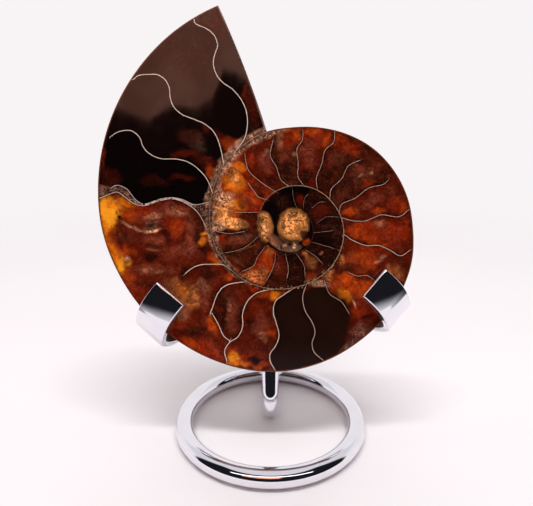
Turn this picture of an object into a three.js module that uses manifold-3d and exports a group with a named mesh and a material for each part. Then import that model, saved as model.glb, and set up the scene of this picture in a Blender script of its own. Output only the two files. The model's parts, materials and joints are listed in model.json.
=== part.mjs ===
// Half of an ammonite, sawn through its plane of coiling and polished, resting in the two hooks of
// a chrome stand. The stand is a round rod ring, a bent rod stem that rises behind the fossil, and
// one flat strap that crosses behind it and is hooked forward round its lower rim.
// Millimetres, +Z up, the polished face looks along -Y.
import * as THREE from 'three';
import { mergeVertices } from 'three/addons/utils/BufferGeometryUtils.js';
import Module from 'manifold-3d';

// Stand rod and ring
const ROD_DIAMETER = 4.5;
const RING_OUTER_DIAMETER = 50;
const ROD_SIDES = 12;
const RING_STEPS = 56;
const TOUCH_GAP = 0.3;
const SAME_POINT_WITHIN = 1e-4;

// Stem
const ELBOW_RADIUS = 5;
const ELBOW_BEHIND_RING_CENTRE = 4.95;
const STEM_LEAN = 22.5;
const STEM_TOP_HEIGHT = 50;
const ELBOW_STEPS = 12;

// Leaning frame: the plane of the polished face, where its lowest point stands
const FACE_LEAN = 12;
const FACE_FOOT_FORWARD = 9;
const FACE_FOOT_HEIGHT = 20.8;

// Cradle strap
const STRAP_WIDTH = 8.5;
const STRAP_THICKNESS = 1.6;
const STRAP_STEPS = 34;
const APEX = { across: 0, up: 29, behind: 15.8 };
const APEX_PAD_RADIUS = 5.2;
const APEX_PAD_SIDES = 20;
const APEX_PAD_TILT = 9;
// Each hook: its lower tip corner on the face, how its tip edge slopes, and how far it wraps out past the rim
const HOOKS = [
  { side: 'left', corner: [-20.07, 16.08], slope: -39, reach: 1 },
  { side: 'right', corner: [21.18, 18.15], slope: -131.9, reach: 0.94 },
];
// The hook's outer edge line, from its tip: outward from the tip, in front of the face, along the tip edge
const HOOK_LINE = [
  [0, 3.6, 0],
  [4.8, 3.5, 0.1],
  [9.3, 2.0, 1.0],
  [12.6, -2.5, 1.9],
  [13.2, -5.2, 2.6],
  [12.8, -8.6, 3.7],
  [11.2, -11.4, 4.7],
  [7.6, -12.9, 5.5],
];
// The tip edge's lower end stands off the face; the tilt is gone halfway along the arm
const TIP_TILT = 0.165;
const TILT_ENDS_AT = 0.5;

// Ammonite
const COIL_CENTRE = { across: 5.2, up: 33.8 };
const NOTCH_ANGLE = 105;
// Rim radius every 15 degrees round the last whorl, from the notch beside the mouth to just before its tip
const RIM_RADII = [
  23.63, 23.85, 24.63, 25.69, 26.79, 27.58, 28.19, 28.58,
  29.42, 29.97, 30.63, 31.36, 32.58, 33.92, 35.27, 36.61,
  38.29, 40.37, 42.7, 45.3, 47.6, 49.95, 52.17, 54.1,
];
const GROWTH_PER_WHORL = 2.34;
const MOUTH_SLANT = 3.6;
const MOUTH_SLANT_STARTS = 325;
const HALF_BREADTH = 0.3;
const BROADEST_AT = 0.44;
const UMBILICUS = 0.23;
const FLANK_POWER = 2.6;
const UMBILICAL_WALL_POWER = 0.7;
const RIBS_PER_WHORL = 30;
const RIB_HEIGHT = 0.012;
const RIB_SWEEP = 1.6;
const STEPS_PER_WHORL = 120;
const INNER_WHORLS = 2;
const SHOULDER_STEPS = 4;
const FLANK_STEPS = 8;
const MOUTH_EDGE_STEPS = 6;

const wasm = await Module();
wasm.setup();

const radians = THREE.MathUtils.degToRad;
const rodRadius = ROD_DIAMETER / 2;
const ringRadius = RING_OUTER_DIAMETER / 2 - rodRadius;

const chrome = (color) => new THREE.MeshStandardMaterial({ color, roughness: 0.08, metalness: 1 });

// Section of the rod: its flats, not its corners, are at the rod's radius, and one flat faces straight down
function rodSection() {
  const corner = rodRadius / Math.cos(Math.PI / ROD_SIDES);
  return Array.from({ length: ROD_SIDES }, (_, k) => {
    const angle = (k + 0.5) * 2 * Math.PI / ROD_SIDES;
    return new THREE.Vector2(corner * Math.cos(angle), corner * Math.sin(angle));
  });
}

function baseRing() {
  const section = rodSection().map((p) => new THREE.Vector2(p.x + ringRadius, p.y + rodRadius));
  section.push(section[0].clone());
  const geometry = new THREE.LatheGeometry(section, RING_STEPS);
  geometry.rotateX(Math.PI / 2);
  return geometry;
}

// Centre line of the stem: forward along the table, round the elbow, then up behind the fossil
function stemLine() {
  const lean = radians(STEM_LEAN);
  const turn = Math.PI / 2 + lean;
  const stations = [new THREE.Vector3(0, ringRadius - rodRadius - TOUCH_GAP, rodRadius)];
  for (let k = 0; k <= ELBOW_STEPS; k += 1) {
    const angle = turn * k / ELBOW_STEPS;
    stations.push(new THREE.Vector3(
      0,
      ELBOW_BEHIND_RING_CENTRE - ELBOW_RADIUS * Math.sin(angle),
      rodRadius + ELBOW_RADIUS * (1 - Math.cos(angle)),
    ));
  }
  const end = stations[ELBOW_STEPS + 1];
  const rise = STEM_TOP_HEIGHT - end.z;
  stations.push(new THREE.Vector3(0, end.y + rise * Math.tan(lean), STEM_TOP_HEIGHT));
  return stations;
}

// A closed solid lofted through rings of points that all have the same count, with flat ends
function loft(rings) {
  const count = rings[0].length;
  const positions = rings.flatMap((ring) => ring.flatMap((p) => [p.x, p.y, p.z]));
  const faces = [];
  for (let i = 0; i + 1 < rings.length; i += 1) {
    for (let k = 0; k < count; k += 1) {
      const next = (k + 1) % count;
      const a = i * count + k;
      const b = i * count + next;
      const c = a + count;
      const d = b + count;
      faces.push(a, b, c, b, d, c);
    }
  }
  const last = (rings.length - 1) * count;
  for (let k = 1; k + 1 < count; k += 1) {
    faces.push(0, k + 1, k);
    faces.push(last, last + k, last + k + 1);
  }
  const geometry = new THREE.BufferGeometry();
  geometry.setAttribute('position', new THREE.Float32BufferAttribute(positions, 3));
  geometry.setIndex(faces);
  return geometry;
}

function stemRod() {
  const stations = stemLine();
  const across = new THREE.Vector3(1, 0, 0);
  const rings = stations.map((centre, k) => {
    const before = stations[Math.max(k - 1, 0)];
    const after = stations[Math.min(k + 1, stations.length - 1)];
    const along = after.clone().sub(before).normalize();
    const other = along.clone().cross(across);
    return rodSection().map((p) => centre.clone().addScaledVector(across, p.x).addScaledVector(other, p.y));
  });
  return loft(rings);
}

// Manifold solids from three.js geometry and back
function toSolid(geometry) {
  const bare = geometry.clone();
  bare.deleteAttribute('normal');
  bare.deleteAttribute('uv');
  const merged = mergeVertices(bare, SAME_POINT_WITHIN);
  return new wasm.Manifold(new wasm.Mesh({
    numProp: 3,
    vertProperties: new Float32Array(merged.attributes.position.array),
    triVerts: new Uint32Array(merged.index.array),
  }));
}

function toGeometry(solid) {
  const mesh = solid.getMesh();
  const geometry = new THREE.BufferGeometry();
  geometry.setAttribute('position', new THREE.Float32BufferAttribute(mesh.vertProperties, mesh.numProp));
  geometry.setIndex(new THREE.Uint32BufferAttribute(mesh.triVerts, 1));
  return geometry;
}

// One arm of the strap, from its hooked tip round the rim and up to the apex, in the leaning frame
function strapArm(hook) {
  const slope = radians(hook.slope);
  const tipEdge = new THREE.Vector3(Math.cos(slope), Math.sin(slope), 0);
  const outwardSign = hook.side === 'left' ? 1 : -1;
  const outward = new THREE.Vector3(tipEdge.y * outwardSign, -tipEdge.x * outwardSign, 0);
  const corner = new THREE.Vector3(hook.corner[0], hook.corner[1], 0);
  const points = HOOK_LINE.map(([out, front, along]) => corner.clone()
    .addScaledVector(outward, out * hook.reach)
    .addScaledVector(tipEdge, along)
    .setZ(front));
  const apex = new THREE.Vector3(APEX.across, APEX.up, -APEX.behind).addScaledVector(tipEdge, STRAP_WIDTH / 2);
  const armStart = points[points.length - 1];
  points.push(armStart.clone().lerp(apex, 0.5), apex);
  const curve = new THREE.CatmullRomCurve3(points, false, 'centripetal');
  const stations = curve.getSpacedPoints(STRAP_STEPS);
  const rings = stations.map((edge, k) => {
    const share = k / STRAP_STEPS;
    const tilt = TIP_TILT * Math.max(0, 1 - share / TILT_ENDS_AT);
    const width = tipEdge.clone().setZ(tilt).normalize();
    const along = curve.getTangentAt(share);
    const inward = along.clone().cross(width).normalize().multiplyScalar(-outwardSign * STRAP_THICKNESS);
    const far = edge.clone().addScaledVector(width, -STRAP_WIDTH);
    const ring = [edge, edge.clone().add(inward), far.clone().add(inward), far];
    return outwardSign > 0 ? ring.reverse() : ring;
  });
  return loft(rings);
}

function cradleStrap() {
  const arms = HOOKS.map((hook) => toSolid(strapArm(hook)));
  const pad = new THREE.CylinderGeometry(APEX_PAD_RADIUS, APEX_PAD_RADIUS, STRAP_THICKNESS, APEX_PAD_SIDES);
  pad.rotateX(Math.PI / 2 - radians(APEX_PAD_TILT));
  pad.translate(APEX.across, APEX.up, -APEX.behind + STRAP_THICKNESS / 2);
  return toGeometry(arms[0].add(arms[1]).add(toSolid(pad)));
}

// Radius of the rim at a turn angle in degrees: 0 at the notch, 360 at the mouth's tip, negative on inner whorls
function rimRadius(turn) {
  const step = 360 / RIM_RADII.length;
  const place = Math.floor(turn / step);
  const part = turn / step - place;
  const radiusAt = (k) => {
    const whorl = Math.floor(k / RIM_RADII.length);
    return RIM_RADII[k - whorl * RIM_RADII.length] * GROWTH_PER_WHORL ** whorl;
  };
  const [a, b, c, d] = [-1, 0, 1, 2].map((k) => radiusAt(place + k));
  const slopeB = (c - a) / 2;
  const slopeC = (d - b) / 2;
  return b + part * (slopeB + part * (3 * (c - b) - 2 * slopeB - slopeC + part * (2 * (b - c) + slopeB + slopeC)));
}

// How far the whorl bulges behind the sawn plane; share is the distance from the coil's centre,
// over the rim's distance
function bulge(share) {
  if (share >= BROADEST_AT) {
    const out = Math.min((share - BROADEST_AT) / (1 - BROADEST_AT), 1);
    return Math.sqrt(1 - out ** FLANK_POWER);
  }
  const seam = bulge(UMBILICUS * GROWTH_PER_WHORL) / GROWTH_PER_WHORL;
  const rise = (share - UMBILICUS) / (BROADEST_AT - UMBILICUS);
  return seam + (1 - seam) * Math.sin(rise * Math.PI / 2) ** UMBILICAL_WALL_POWER;
}

// Height of the ribs, which are strongest half-way up the flank and swept back there
function rib(turn, share) {
  const upFlank = THREE.MathUtils.clamp((share - UMBILICUS) / (1 - UMBILICUS), 0, 1);
  const middle = Math.sin(Math.PI * upFlank);
  return RIB_HEIGHT * middle * Math.cos(radians(turn) * RIBS_PER_WHORL + RIB_SWEEP * middle);
}

// The whole fossil: a spiral grid of points behind the sawn plane, closed by the flat face and the mouth
function ammoniteHalf() {
  const points = [];
  const faces = [];
  const degrees = 360 / STEPS_PER_WHORL;
  const first = -INNER_WHORLS * STEPS_PER_WHORL;
  const innerShares = [];
  for (let j = 0; j <= SHOULDER_STEPS; j += 1) {
    innerShares.push(UMBILICUS * GROWTH_PER_WHORL ** (j / SHOULDER_STEPS));
  }
  const outerShares = [];
  for (let j = 1; j <= FLANK_STEPS; j += 1) {
    const part = Math.sin(j / FLANK_STEPS * Math.PI / 2);
    const start = UMBILICUS * GROWTH_PER_WHORL;
    outerShares.push(start + (1 - start) * part);
  }

  const slantAt = (turn) => MOUTH_SLANT * Math.max(0, (turn - MOUTH_SLANT_STARTS) / (360 - MOUTH_SLANT_STARTS)) ** 2;
  const place = (turn, radius, depth) => {
    const reach = THREE.MathUtils.clamp((radius - rimRadius(0)) / (rimRadius(360) - rimRadius(0)), 0, 1);
    const angle = radians(NOTCH_ANGLE - turn + slantAt(turn) * reach);
    points.push([
      COIL_CENTRE.across + radius * Math.cos(angle),
      COIL_CENTRE.up + radius * Math.sin(angle),
      -depth,
    ]);
    return points.length - 1;
  };
  const rim = (turn) => rimRadius(turn - slantAt(turn));
  const depthAt = (turn, share) => HALF_BREADTH * rim(turn) * (bulge(share) + rib(turn, share) / HALF_BREADTH);

  // Rows of points across each whorl: the seam belongs to the whorl inside it
  const rows = new Map();
  for (let i = first; i <= STEPS_PER_WHORL; i += 1) {
    const turn = i * degrees;
    const shares = i < 0 ? innerShares : [...innerShares, ...outerShares];
    const row = shares.map((share, j) => {
      const inner = rows.get(i - STEPS_PER_WHORL);
      if (j === 0 && inner) {
        return inner[SHOULDER_STEPS];
      }
      const depth = share >= 1 ? 0 : depthAt(turn, share);
      return place(turn, share * rim(turn), depth);
    });
    rows.set(i, row);
  }
  for (let i = first; i < STEPS_PER_WHORL; i += 1) {
    const here = rows.get(i);
    const next = rows.get(i + 1);
    const width = Math.min(here.length, next.length) - 1;
    for (let j = 0; j < width; j += 1) {
      faces.push([here[j], here[j + 1], next[j + 1]], [here[j], next[j + 1], next[j]]);
    }
  }

  // The eye of the coil, closed by a fan
  const eye = points.push([COIL_CENTRE.across, COIL_CENTRE.up, points[rows.get(first)[0]][2]]) - 1;
  for (let i = first; i < first + STEPS_PER_WHORL; i += 1) {
    faces.push([eye, rows.get(i)[0], rows.get(i + 1)[0]]);
  }
  const start = rows.get(first);
  for (let j = 0; j < SHOULDER_STEPS; j += 1) {
    faces.push([eye, start[j + 1], start[j]]);
  }

  // The mouth: the cut edge on the face, from the tip to the notch, and the broken end of the whorl behind it
  const firstRow = rows.get(0);
  const lastRow = rows.get(STEPS_PER_WHORL);
  const edge = [];
  for (let k = 1; k < MOUTH_EDGE_STEPS; k += 1) {
    const radius = rim(360) + (rim(0) - rim(360)) * k / MOUTH_EDGE_STEPS;
    edge.push(place(360, radius, 0));
  }
  const covered = firstRow.slice(SHOULDER_STEPS + 1);
  const mouth = [...lastRow, ...edge, ...covered.reverse()];
  const flat = mouth.map((k) => {
    const [x, y, z] = points[k];
    return new THREE.Vector2(Math.hypot(x - COIL_CENTRE.across, y - COIL_CENTRE.up), -z);
  });
  for (const [a, b, c] of THREE.ShapeUtils.triangulateShape(flat, [])) {
    faces.push([mouth[a], mouth[c], mouth[b]]);
  }

  // The sawn and polished face
  const outline = [];
  for (let i = 0; i <= STEPS_PER_WHORL; i += 1) {
    const row = rows.get(i);
    outline.push(row[row.length - 1]);
  }
  outline.push(...edge);
  const face = outline.map((k) => new THREE.Vector2(points[k][0], points[k][1]));
  for (const [a, b, c] of THREE.ShapeUtils.triangulateShape(face, [])) {
    faces.push([outline[a], outline[b], outline[c]]);
  }

  const geometry = new THREE.BufferGeometry();
  geometry.setAttribute('position', new THREE.Float32BufferAttribute(points.flat(), 3));
  geometry.setIndex(faces.flat());
  return toGeometry(toSolid(geometry));
}

const group = new THREE.Group();
const leaningFrame = new THREE.Group();
leaningFrame.rotation.x = Math.PI / 2 - radians(FACE_LEAN);
leaningFrame.position.set(0, -FACE_FOOT_FORWARD, FACE_FOOT_HEIGHT);
group.add(leaningFrame);

function addMesh(parent, name, geometry, material) {
  const mesh = new THREE.Mesh(geometry, material);
  mesh.name = name;
  parent.add(mesh);
}

addMesh(group, 'base_ring', baseRing(), chrome(0xd8d9de));
addMesh(group, 'stem_rod', stemRod(), chrome(0xd8d9de));
addMesh(leaningFrame, 'cradle_strap', cradleStrap(), chrome(0xdcdce2));
const stone = new THREE.MeshStandardMaterial({ color: 0x5a2410, roughness: 0.2, metalness: 0 });
addMesh(leaningFrame, 'ammonite_half', ammoniteHalf(), stone);

// The row's origin is the middle of the whole object's footprint box, on the table
group.updateMatrixWorld(true);
const box = new THREE.Box3().setFromObject(group, true);
group.position.set(-(box.min.x + box.max.x) / 2, -(box.min.y + box.max.y) / 2, -box.min.z);

export default group;
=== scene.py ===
import json
import math

import bpy
import numpy as np
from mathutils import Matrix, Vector, geometry

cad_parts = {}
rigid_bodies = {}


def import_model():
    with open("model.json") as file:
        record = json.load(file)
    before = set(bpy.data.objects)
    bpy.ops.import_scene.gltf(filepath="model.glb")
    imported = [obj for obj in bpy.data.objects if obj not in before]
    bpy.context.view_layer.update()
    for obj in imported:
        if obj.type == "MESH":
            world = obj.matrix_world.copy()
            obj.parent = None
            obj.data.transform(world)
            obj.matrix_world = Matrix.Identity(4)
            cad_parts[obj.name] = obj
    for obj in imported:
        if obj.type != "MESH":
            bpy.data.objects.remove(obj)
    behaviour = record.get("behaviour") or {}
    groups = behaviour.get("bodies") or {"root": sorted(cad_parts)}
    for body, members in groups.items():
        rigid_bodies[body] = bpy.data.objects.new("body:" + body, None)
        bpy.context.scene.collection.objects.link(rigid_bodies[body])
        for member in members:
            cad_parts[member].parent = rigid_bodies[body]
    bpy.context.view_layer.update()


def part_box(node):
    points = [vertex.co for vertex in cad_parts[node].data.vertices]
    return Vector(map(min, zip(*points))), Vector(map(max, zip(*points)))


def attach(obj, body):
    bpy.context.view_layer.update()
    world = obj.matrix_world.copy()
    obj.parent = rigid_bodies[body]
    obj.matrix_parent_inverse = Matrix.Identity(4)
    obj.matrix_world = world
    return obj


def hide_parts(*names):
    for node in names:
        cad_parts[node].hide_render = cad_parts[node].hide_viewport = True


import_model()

for leftover in [o for o in bpy.data.objects if o.name in ("Cube", "Light", "Camera")]:
    bpy.data.objects.remove(leftover)


# The base ring is a hoop of round steel rod, bent and butt-welded, ground smooth and chromed.
# It lies flat on the table and carries everything else.
MM = 0.001
ROD_RADIUS = 2.25
HOOP_RADIUS = 22.75
HOOP_STEPS = 160
ROD_SIDES = 40
hoop_low, hoop_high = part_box("base_ring")
hoop_centre = np.array([(hoop_low[0] + hoop_high[0]) / 2, (hoop_low[1] + hoop_high[1]) / 2, 0.0]) / MM


def linear(code):
    """A colour written as a six-figure code, in the renderer's linear values."""
    parts = [int(code[k:k + 2], 16) / 255 for k in (0, 2, 4)]
    return np.array([p / 12.92 if p <= 0.04045 else ((p + 0.055) / 1.055) ** 2.4 for p in parts])


def colour(code):
    return (*linear(code), 1.0)


def solid(name, points_mm, faces, sharp_angle=40):
    """A mesh piece from points in millimetres, smooth except along its real edges."""
    mesh = bpy.data.meshes.new(name)
    mesh.from_pydata((np.asarray(points_mm) * MM).tolist(), [], faces)
    mesh.validate()
    mesh.shade_smooth()
    mesh.set_sharp_from_angle(angle=math.radians(sharp_angle))
    piece = bpy.data.objects.new(name, mesh)
    bpy.context.scene.collection.objects.link(piece)
    return piece


def tube_faces(rings, sides, closed=False):
    """Faces that join rings of points, each with the same number of sides."""
    faces = []
    for i in range(rings if closed else rings - 1):
        a, b = i * sides, (i + 1) % rings * sides
        faces += [(a + k, a + (k + 1) % sides, b + (k + 1) % sides, b + k) for k in range(sides)]
    if not closed:
        faces += [tuple(range(sides - 1, -1, -1)), tuple(range((rings - 1) * sides, rings * sides))]
    return faces


def add_node(tree, kind, inputs=None, **settings):
    """A shader node whose inputs are set to a value or linked to another node's output."""
    made = tree.nodes.new("ShaderNode" + kind)
    for key, value in settings.items():
        setattr(made, key, value)
    for key, value in (inputs or {}).items():
        if isinstance(value, bpy.types.NodeSocket):
            tree.links.new(value, made.inputs[key])
        else:
            made.inputs[key].default_value = value
    return made


class Finish:
    """The node tree of one surface finish."""

    def __init__(self, name):
        self.material = bpy.data.materials.new(name)
        self.material.use_nodes = True
        self.tree = self.material.node_tree
        self.tree.nodes.clear()
        self.shader = self.add("BsdfPrincipled")
        self.add("OutputMaterial", {0: self.shader.outputs[0]})
        place = self.add("TexCoord").outputs["Object"]
        self.place = self.scaled(place, 1 / MM)

    def add(self, kind, inputs=None, **settings):
        return add_node(self.tree, kind, inputs, **settings)

    def set(self, **values):
        for key, value in values.items():
            socket = self.shader.inputs[key.replace("_", " ").title().replace("Ior", "IOR")]
            if isinstance(value, bpy.types.NodeSocket):
                self.tree.links.new(value, socket)
            else:
                socket.default_value = value

    def math(self, operation, *values, clamp=False):
        return self.add("Math", dict(enumerate(values)), operation=operation, use_clamp=clamp).outputs[0]

    def times(self, first, second):
        return self.math("MULTIPLY", first, second)

    def scaled(self, vector, factor):
        return self.add("VectorMath", {0: vector, 3: factor}, operation="SCALE").outputs[0]

    def between(self, value, low, high, start=0.0, end=1.0):
        inputs = {"Value": value, "From Min": low, "From Max": high, "To Min": start, "To Max": end}
        return self.add("MapRange", inputs, interpolation_type="SMOOTHSTEP").outputs[0]

    def blend(self, share, first, second, mode="MIX"):
        inputs = {0: share, 6: first, 7: second}
        return self.add("Mix", inputs, data_type="RGBA", blend_type=mode).outputs[2]

    def clouds(self, scale, detail=4.0, rough=0.5, bend=0.0, where=None):
        inputs = {"Vector": where or self.place, "Scale": scale, "Detail": detail, "Roughness": rough,
                  "Distortion": bend}
        return self.add("TexNoise", inputs).outputs[0]

    def cells(self, scale, feature="F1", where=None, output="Distance"):
        inputs = {"Vector": where or self.place, "Scale": scale}
        return self.add("TexVoronoi", inputs, feature=feature).outputs[output]

    def cell_shade(self, scale, channel=0, where=None):
        """A random number for each cell."""
        shade = self.cells(scale, where=where, output="Color")
        return self.add("SeparateXYZ", {0: shade}).outputs[channel]

    def stretched(self, x, y, z, where=None):
        inputs = {0: where or self.place, 1: (x, y, z)}
        return self.add("VectorMath", inputs, operation="MULTIPLY").outputs[0]

    def attribute(self, name):
        return self.add("Attribute", attribute_name=name)

    def parts_of(self, name):
        """The three numbers that a vector attribute holds."""
        return self.add("SeparateXYZ", {0: self.attribute(name).outputs["Vector"]}).outputs

    def relief(self, height, strength, distance_mm):
        inputs = {"Height": height, "Strength": strength, "Distance": distance_mm * MM}
        self.set(normal=self.add("Bump", inputs).outputs[0])


def chrome_finish(name, brush=(1, 1, 1)):
    """Bright chrome over ground steel: nearly a mirror, with faint rubbing marks and a little dust."""
    chrome = Finish(name)
    marks = chrome.clouds(1.6, 5, 0.6, where=chrome.stretched(*brush))
    smudges = chrome.clouds(0.09, 3, 0.55)
    chrome.set(metallic=1.0)
    chrome.set(base_color=chrome.blend(smudges, colour("f6f4f9"), colour("e4e2ea")))
    soft = chrome.between(smudges, 0.45, 0.75, 0.035, 0.11)
    chrome.set(roughness=chrome.math("ADD", soft, chrome.between(marks, 0.55, 0.8, 0.0, 0.05)))
    chrome.relief(chrome.clouds(0.35, 2, 0.4), 0.05, 0.05)
    return chrome.material


hoop_points = []
for step in range(HOOP_STEPS):
    around = 2 * math.pi * step / HOOP_STEPS
    out = np.array([math.sin(around), -math.cos(around), 0.0])
    for side in range(ROD_SIDES):
        angle = 2 * math.pi * side / ROD_SIDES
        reach = HOOP_RADIUS + ROD_RADIUS * math.cos(angle)
        hoop_points.append(hoop_centre + out * reach + [0, 0, ROD_RADIUS * (1 + math.sin(angle))])
base_ring = solid("base_ring_hoop", hoop_points, tube_faces(HOOP_STEPS, ROD_SIDES, closed=True))
base_ring.data.materials.append(chrome_finish("bright_chrome_hoop"))
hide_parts("base_ring")
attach(base_ring, "root")


# The stem is the same rod: welded to the back of the ring, it runs forward along the table, turns up
# at a rounded elbow in the middle of the ring and leans back to the place where the cradle is welded on.
ELBOW_RADIUS = 5.0
ELBOW_BEHIND_RING_CENTRE = 4.95
STEM_LEAN = math.radians(22.5)
STEM_TOP = 50.0
ELBOW_STEPS = 28
WELD_DEPTH = 0.9
WELD_BULGE = 0.75
END_BEVEL = 0.35

stem_line = []
weld_face = HOOP_RADIUS - ROD_RADIUS + WELD_DEPTH
for back, swell in ((0.0, 1.0), (0.5, 0.9), (1.0, 0.62), (1.4, 0.3), (1.8, 0.1), (2.3, 0.0)):
    stem_line.append(((0, weld_face - back, ROD_RADIUS), ROD_RADIUS + WELD_BULGE * swell))
for step in range(ELBOW_STEPS + 1):
    angle = (math.pi / 2 + STEM_LEAN) * step / ELBOW_STEPS
    spot = (0, ELBOW_BEHIND_RING_CENTRE - ELBOW_RADIUS * math.sin(angle),
            ROD_RADIUS + ELBOW_RADIUS * (1 - math.cos(angle)))
    stem_line.append((spot, ROD_RADIUS))
elbow_top = stem_line[-1][0]
for share, inset in ((0.5, 0.0), (1.0, 0.0), (1.0, END_BEVEL)):
    height = elbow_top[2] + (STEM_TOP - elbow_top[2]) * share + inset * math.cos(STEM_LEAN)
    spot = (0, elbow_top[1] + (height - elbow_top[2]) * math.tan(STEM_LEAN), height)
    stem_line.append((spot, ROD_RADIUS - inset))

stem_points = []
spots = np.array([spot for spot, radius in stem_line])
for k, (spot, radius) in enumerate(stem_line):
    along = spots[min(k + 1, len(spots) - 1)] - spots[max(k - 1, 0)]
    along /= np.linalg.norm(along)
    other = np.cross(along, [1, 0, 0])
    for side in range(ROD_SIDES):
        angle = 2 * math.pi * side / ROD_SIDES
        point = spots[k] + radius * (math.cos(angle) * np.array([1, 0, 0]) + math.sin(angle) * other)
        point[2] = max(point[2], 0.0)
        stem_points.append(hoop_centre + point)
stem = solid("stem_rod_bent", stem_points, tube_faces(len(stem_line), ROD_SIDES))
stem.data.materials.append(chrome_finish("bright_chrome_stem"))
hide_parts("stem_rod")
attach(stem, "root")


# The cradle is one flat steel strip, bent over the top of the stem and welded there. Its two ends are
# hooked forward round the fossil's lower rim, so that their tips lie just in front of the polished face.
FACE_LEAN = math.radians(12)
FACE_FOOT = np.array([0, -9.0, 20.8])
STRAP_WIDTH = 8.5
STRAP_THICKNESS = 1.6
STRAP_EDGE_ROUND = 0.3
STRAP_STEPS = 150
APEX = np.array([0, 29.0, -15.8])
PAD_RADIUS = 5.2
PAD_BEVEL = 0.25
PAD_SIDES = 48
PAD_TILT = math.radians(9)
TIP_TILT = 0.165
TILT_ENDS_AT = 0.5
HOOKS = (
    {"side": 1, "corner": (-20.07, 16.08), "slope": -39.0, "reach": 1.0},
    {"side": -1, "corner": (21.18, 18.15), "slope": -131.9, "reach": 0.94},
)
# A hook's line from its tip round the fossil's rim: outward, in front of the face, and along the tip's edge
HOOK_LINE = (
    (0, 3.65, 0), (2.6, 3.6, 0), (4.9, 3.3, 0.1), (7.2, 2.75, 0.4), (9.3, 1.95, 1.0),
    (12.6, -2.5, 1.9), (13.2, -5.2, 2.6), (12.8, -8.6, 3.7), (11.2, -11.4, 4.7), (7.6, -12.9, 5.5),
)
face_up = np.array([0, math.sin(FACE_LEAN), math.cos(FACE_LEAN)])
face_out = np.array([0, -math.cos(FACE_LEAN), math.sin(FACE_LEAN)])


def off_face(across, up, out):
    """Points given across, up and out of the polished face, in the row's frame, in millimetres."""
    across, up, out = (np.asarray(v, float)[..., None] for v in (across, up, out))
    return hoop_centre + FACE_FOOT + across * np.array([1, 0, 0]) + up * face_up + out * face_out


def smooth_curve(points, steps):
    """An even curve through the points, bent less where they are close, with its directions and length."""
    points = np.array(points, float)
    line = np.vstack([2 * points[0] - points[1], points, 2 * points[-1] - points[-2]])
    dense = []
    for k in range(1, len(line) - 2):
        p0, p1, p2, p3 = line[k - 1:k + 3]
        d0, d1, d2 = (np.linalg.norm(b - a) ** 0.5 for a, b in ((p0, p1), (p1, p2), (p2, p3)))
        t1 = ((p1 - p0) / d0 - (p2 - p0) / (d0 + d1) + (p2 - p1) / d1) * d1
        t2 = ((p2 - p1) / d1 - (p3 - p1) / (d1 + d2) + (p3 - p2) / d2) * d1
        t = np.linspace(0, 1, 60, endpoint=False)[:, None]
        square = 3 * (p2 - p1) - 2 * t1 - t2
        cube = 2 * (p1 - p2) + t1 + t2
        dense.append(p1 + t1 * t + square * t ** 2 + cube * t ** 3)
    dense = np.vstack(dense + [line[-2:-1]])
    length = np.concatenate([[0], np.cumsum(np.linalg.norm(np.diff(dense, axis=0), axis=1))])
    at = np.asarray(steps) * length[-1]
    spots = np.stack([np.interp(at, length, dense[:, k]) for k in range(dense.shape[1])], 1)
    near = np.stack([np.interp(at + 0.05, length, dense[:, k]) - np.interp(at - 0.05, length, dense[:, k])
                     for k in range(dense.shape[1])], 1)
    return spots, near / np.linalg.norm(near, axis=1)[:, None], length[-1]


def strip_section(inset):
    """The strip's rounded section: millimetres across its width and through its thickness."""
    section = []
    for w, t, start in ((1, 1, 0), (0, 1, 90), (0, 0, 180), (1, 0, 270)):
        middle = np.array([STRAP_EDGE_ROUND + w * (STRAP_WIDTH - 2 * STRAP_EDGE_ROUND),
                           STRAP_EDGE_ROUND + t * (STRAP_THICKNESS - 2 * STRAP_EDGE_ROUND)])
        for turn in (0, 30, 60, 90):
            angle = math.radians(start + turn)
            corner = np.array([math.cos(angle), math.sin(angle)])
            section.append(middle + (STRAP_EDGE_ROUND - inset) * corner)
    return section


def strap_arm(hook):
    slope = math.radians(hook["slope"])
    tip_edge = np.array([math.cos(slope), math.sin(slope), 0])
    outward = np.array([tip_edge[1], -tip_edge[0], 0]) * hook["side"]
    corner = np.array([*hook["corner"], 0])
    line = [corner + outward * out * hook["reach"] + tip_edge * along + [0, 0, front]
            for out, front, along in HOOK_LINE]
    apex = APEX + tip_edge * STRAP_WIDTH / 2
    line += [(line[-1] + apex) / 2, apex]
    length = smooth_curve(line, [0.0])[2]
    bevel = [(0.0, STRAP_EDGE_ROUND * 0.9), (0.04, 0.15), (0.12, 0.06), (0.3, 0.0)]
    shares = [s / length for s, inset in bevel] + list(np.linspace(0, 1, STRAP_STEPS)[2:])
    insets = [inset for s, inset in bevel] + [0.0] * (STRAP_STEPS - 2)
    spots, directions, _ = smooth_curve(line, shares)
    points = []
    for spot, direction, share, inset in zip(spots, directions, shares, insets):
        tilt = TIP_TILT * max(0.0, 1 - share / TILT_ENDS_AT)
        width = tip_edge + [0, 0, tilt]
        width /= np.linalg.norm(width)
        inward = np.cross(direction, width) * -hook["side"]
        inward /= np.linalg.norm(inward)
        ring = [spot - width * w + inward * t for w, t in strip_section(inset)]
        points += ring[::-1] if hook["side"] < 0 else ring
    points = np.array(points)
    return off_face(*points.T), tube_faces(len(shares), len(strip_section(0)))


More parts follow.
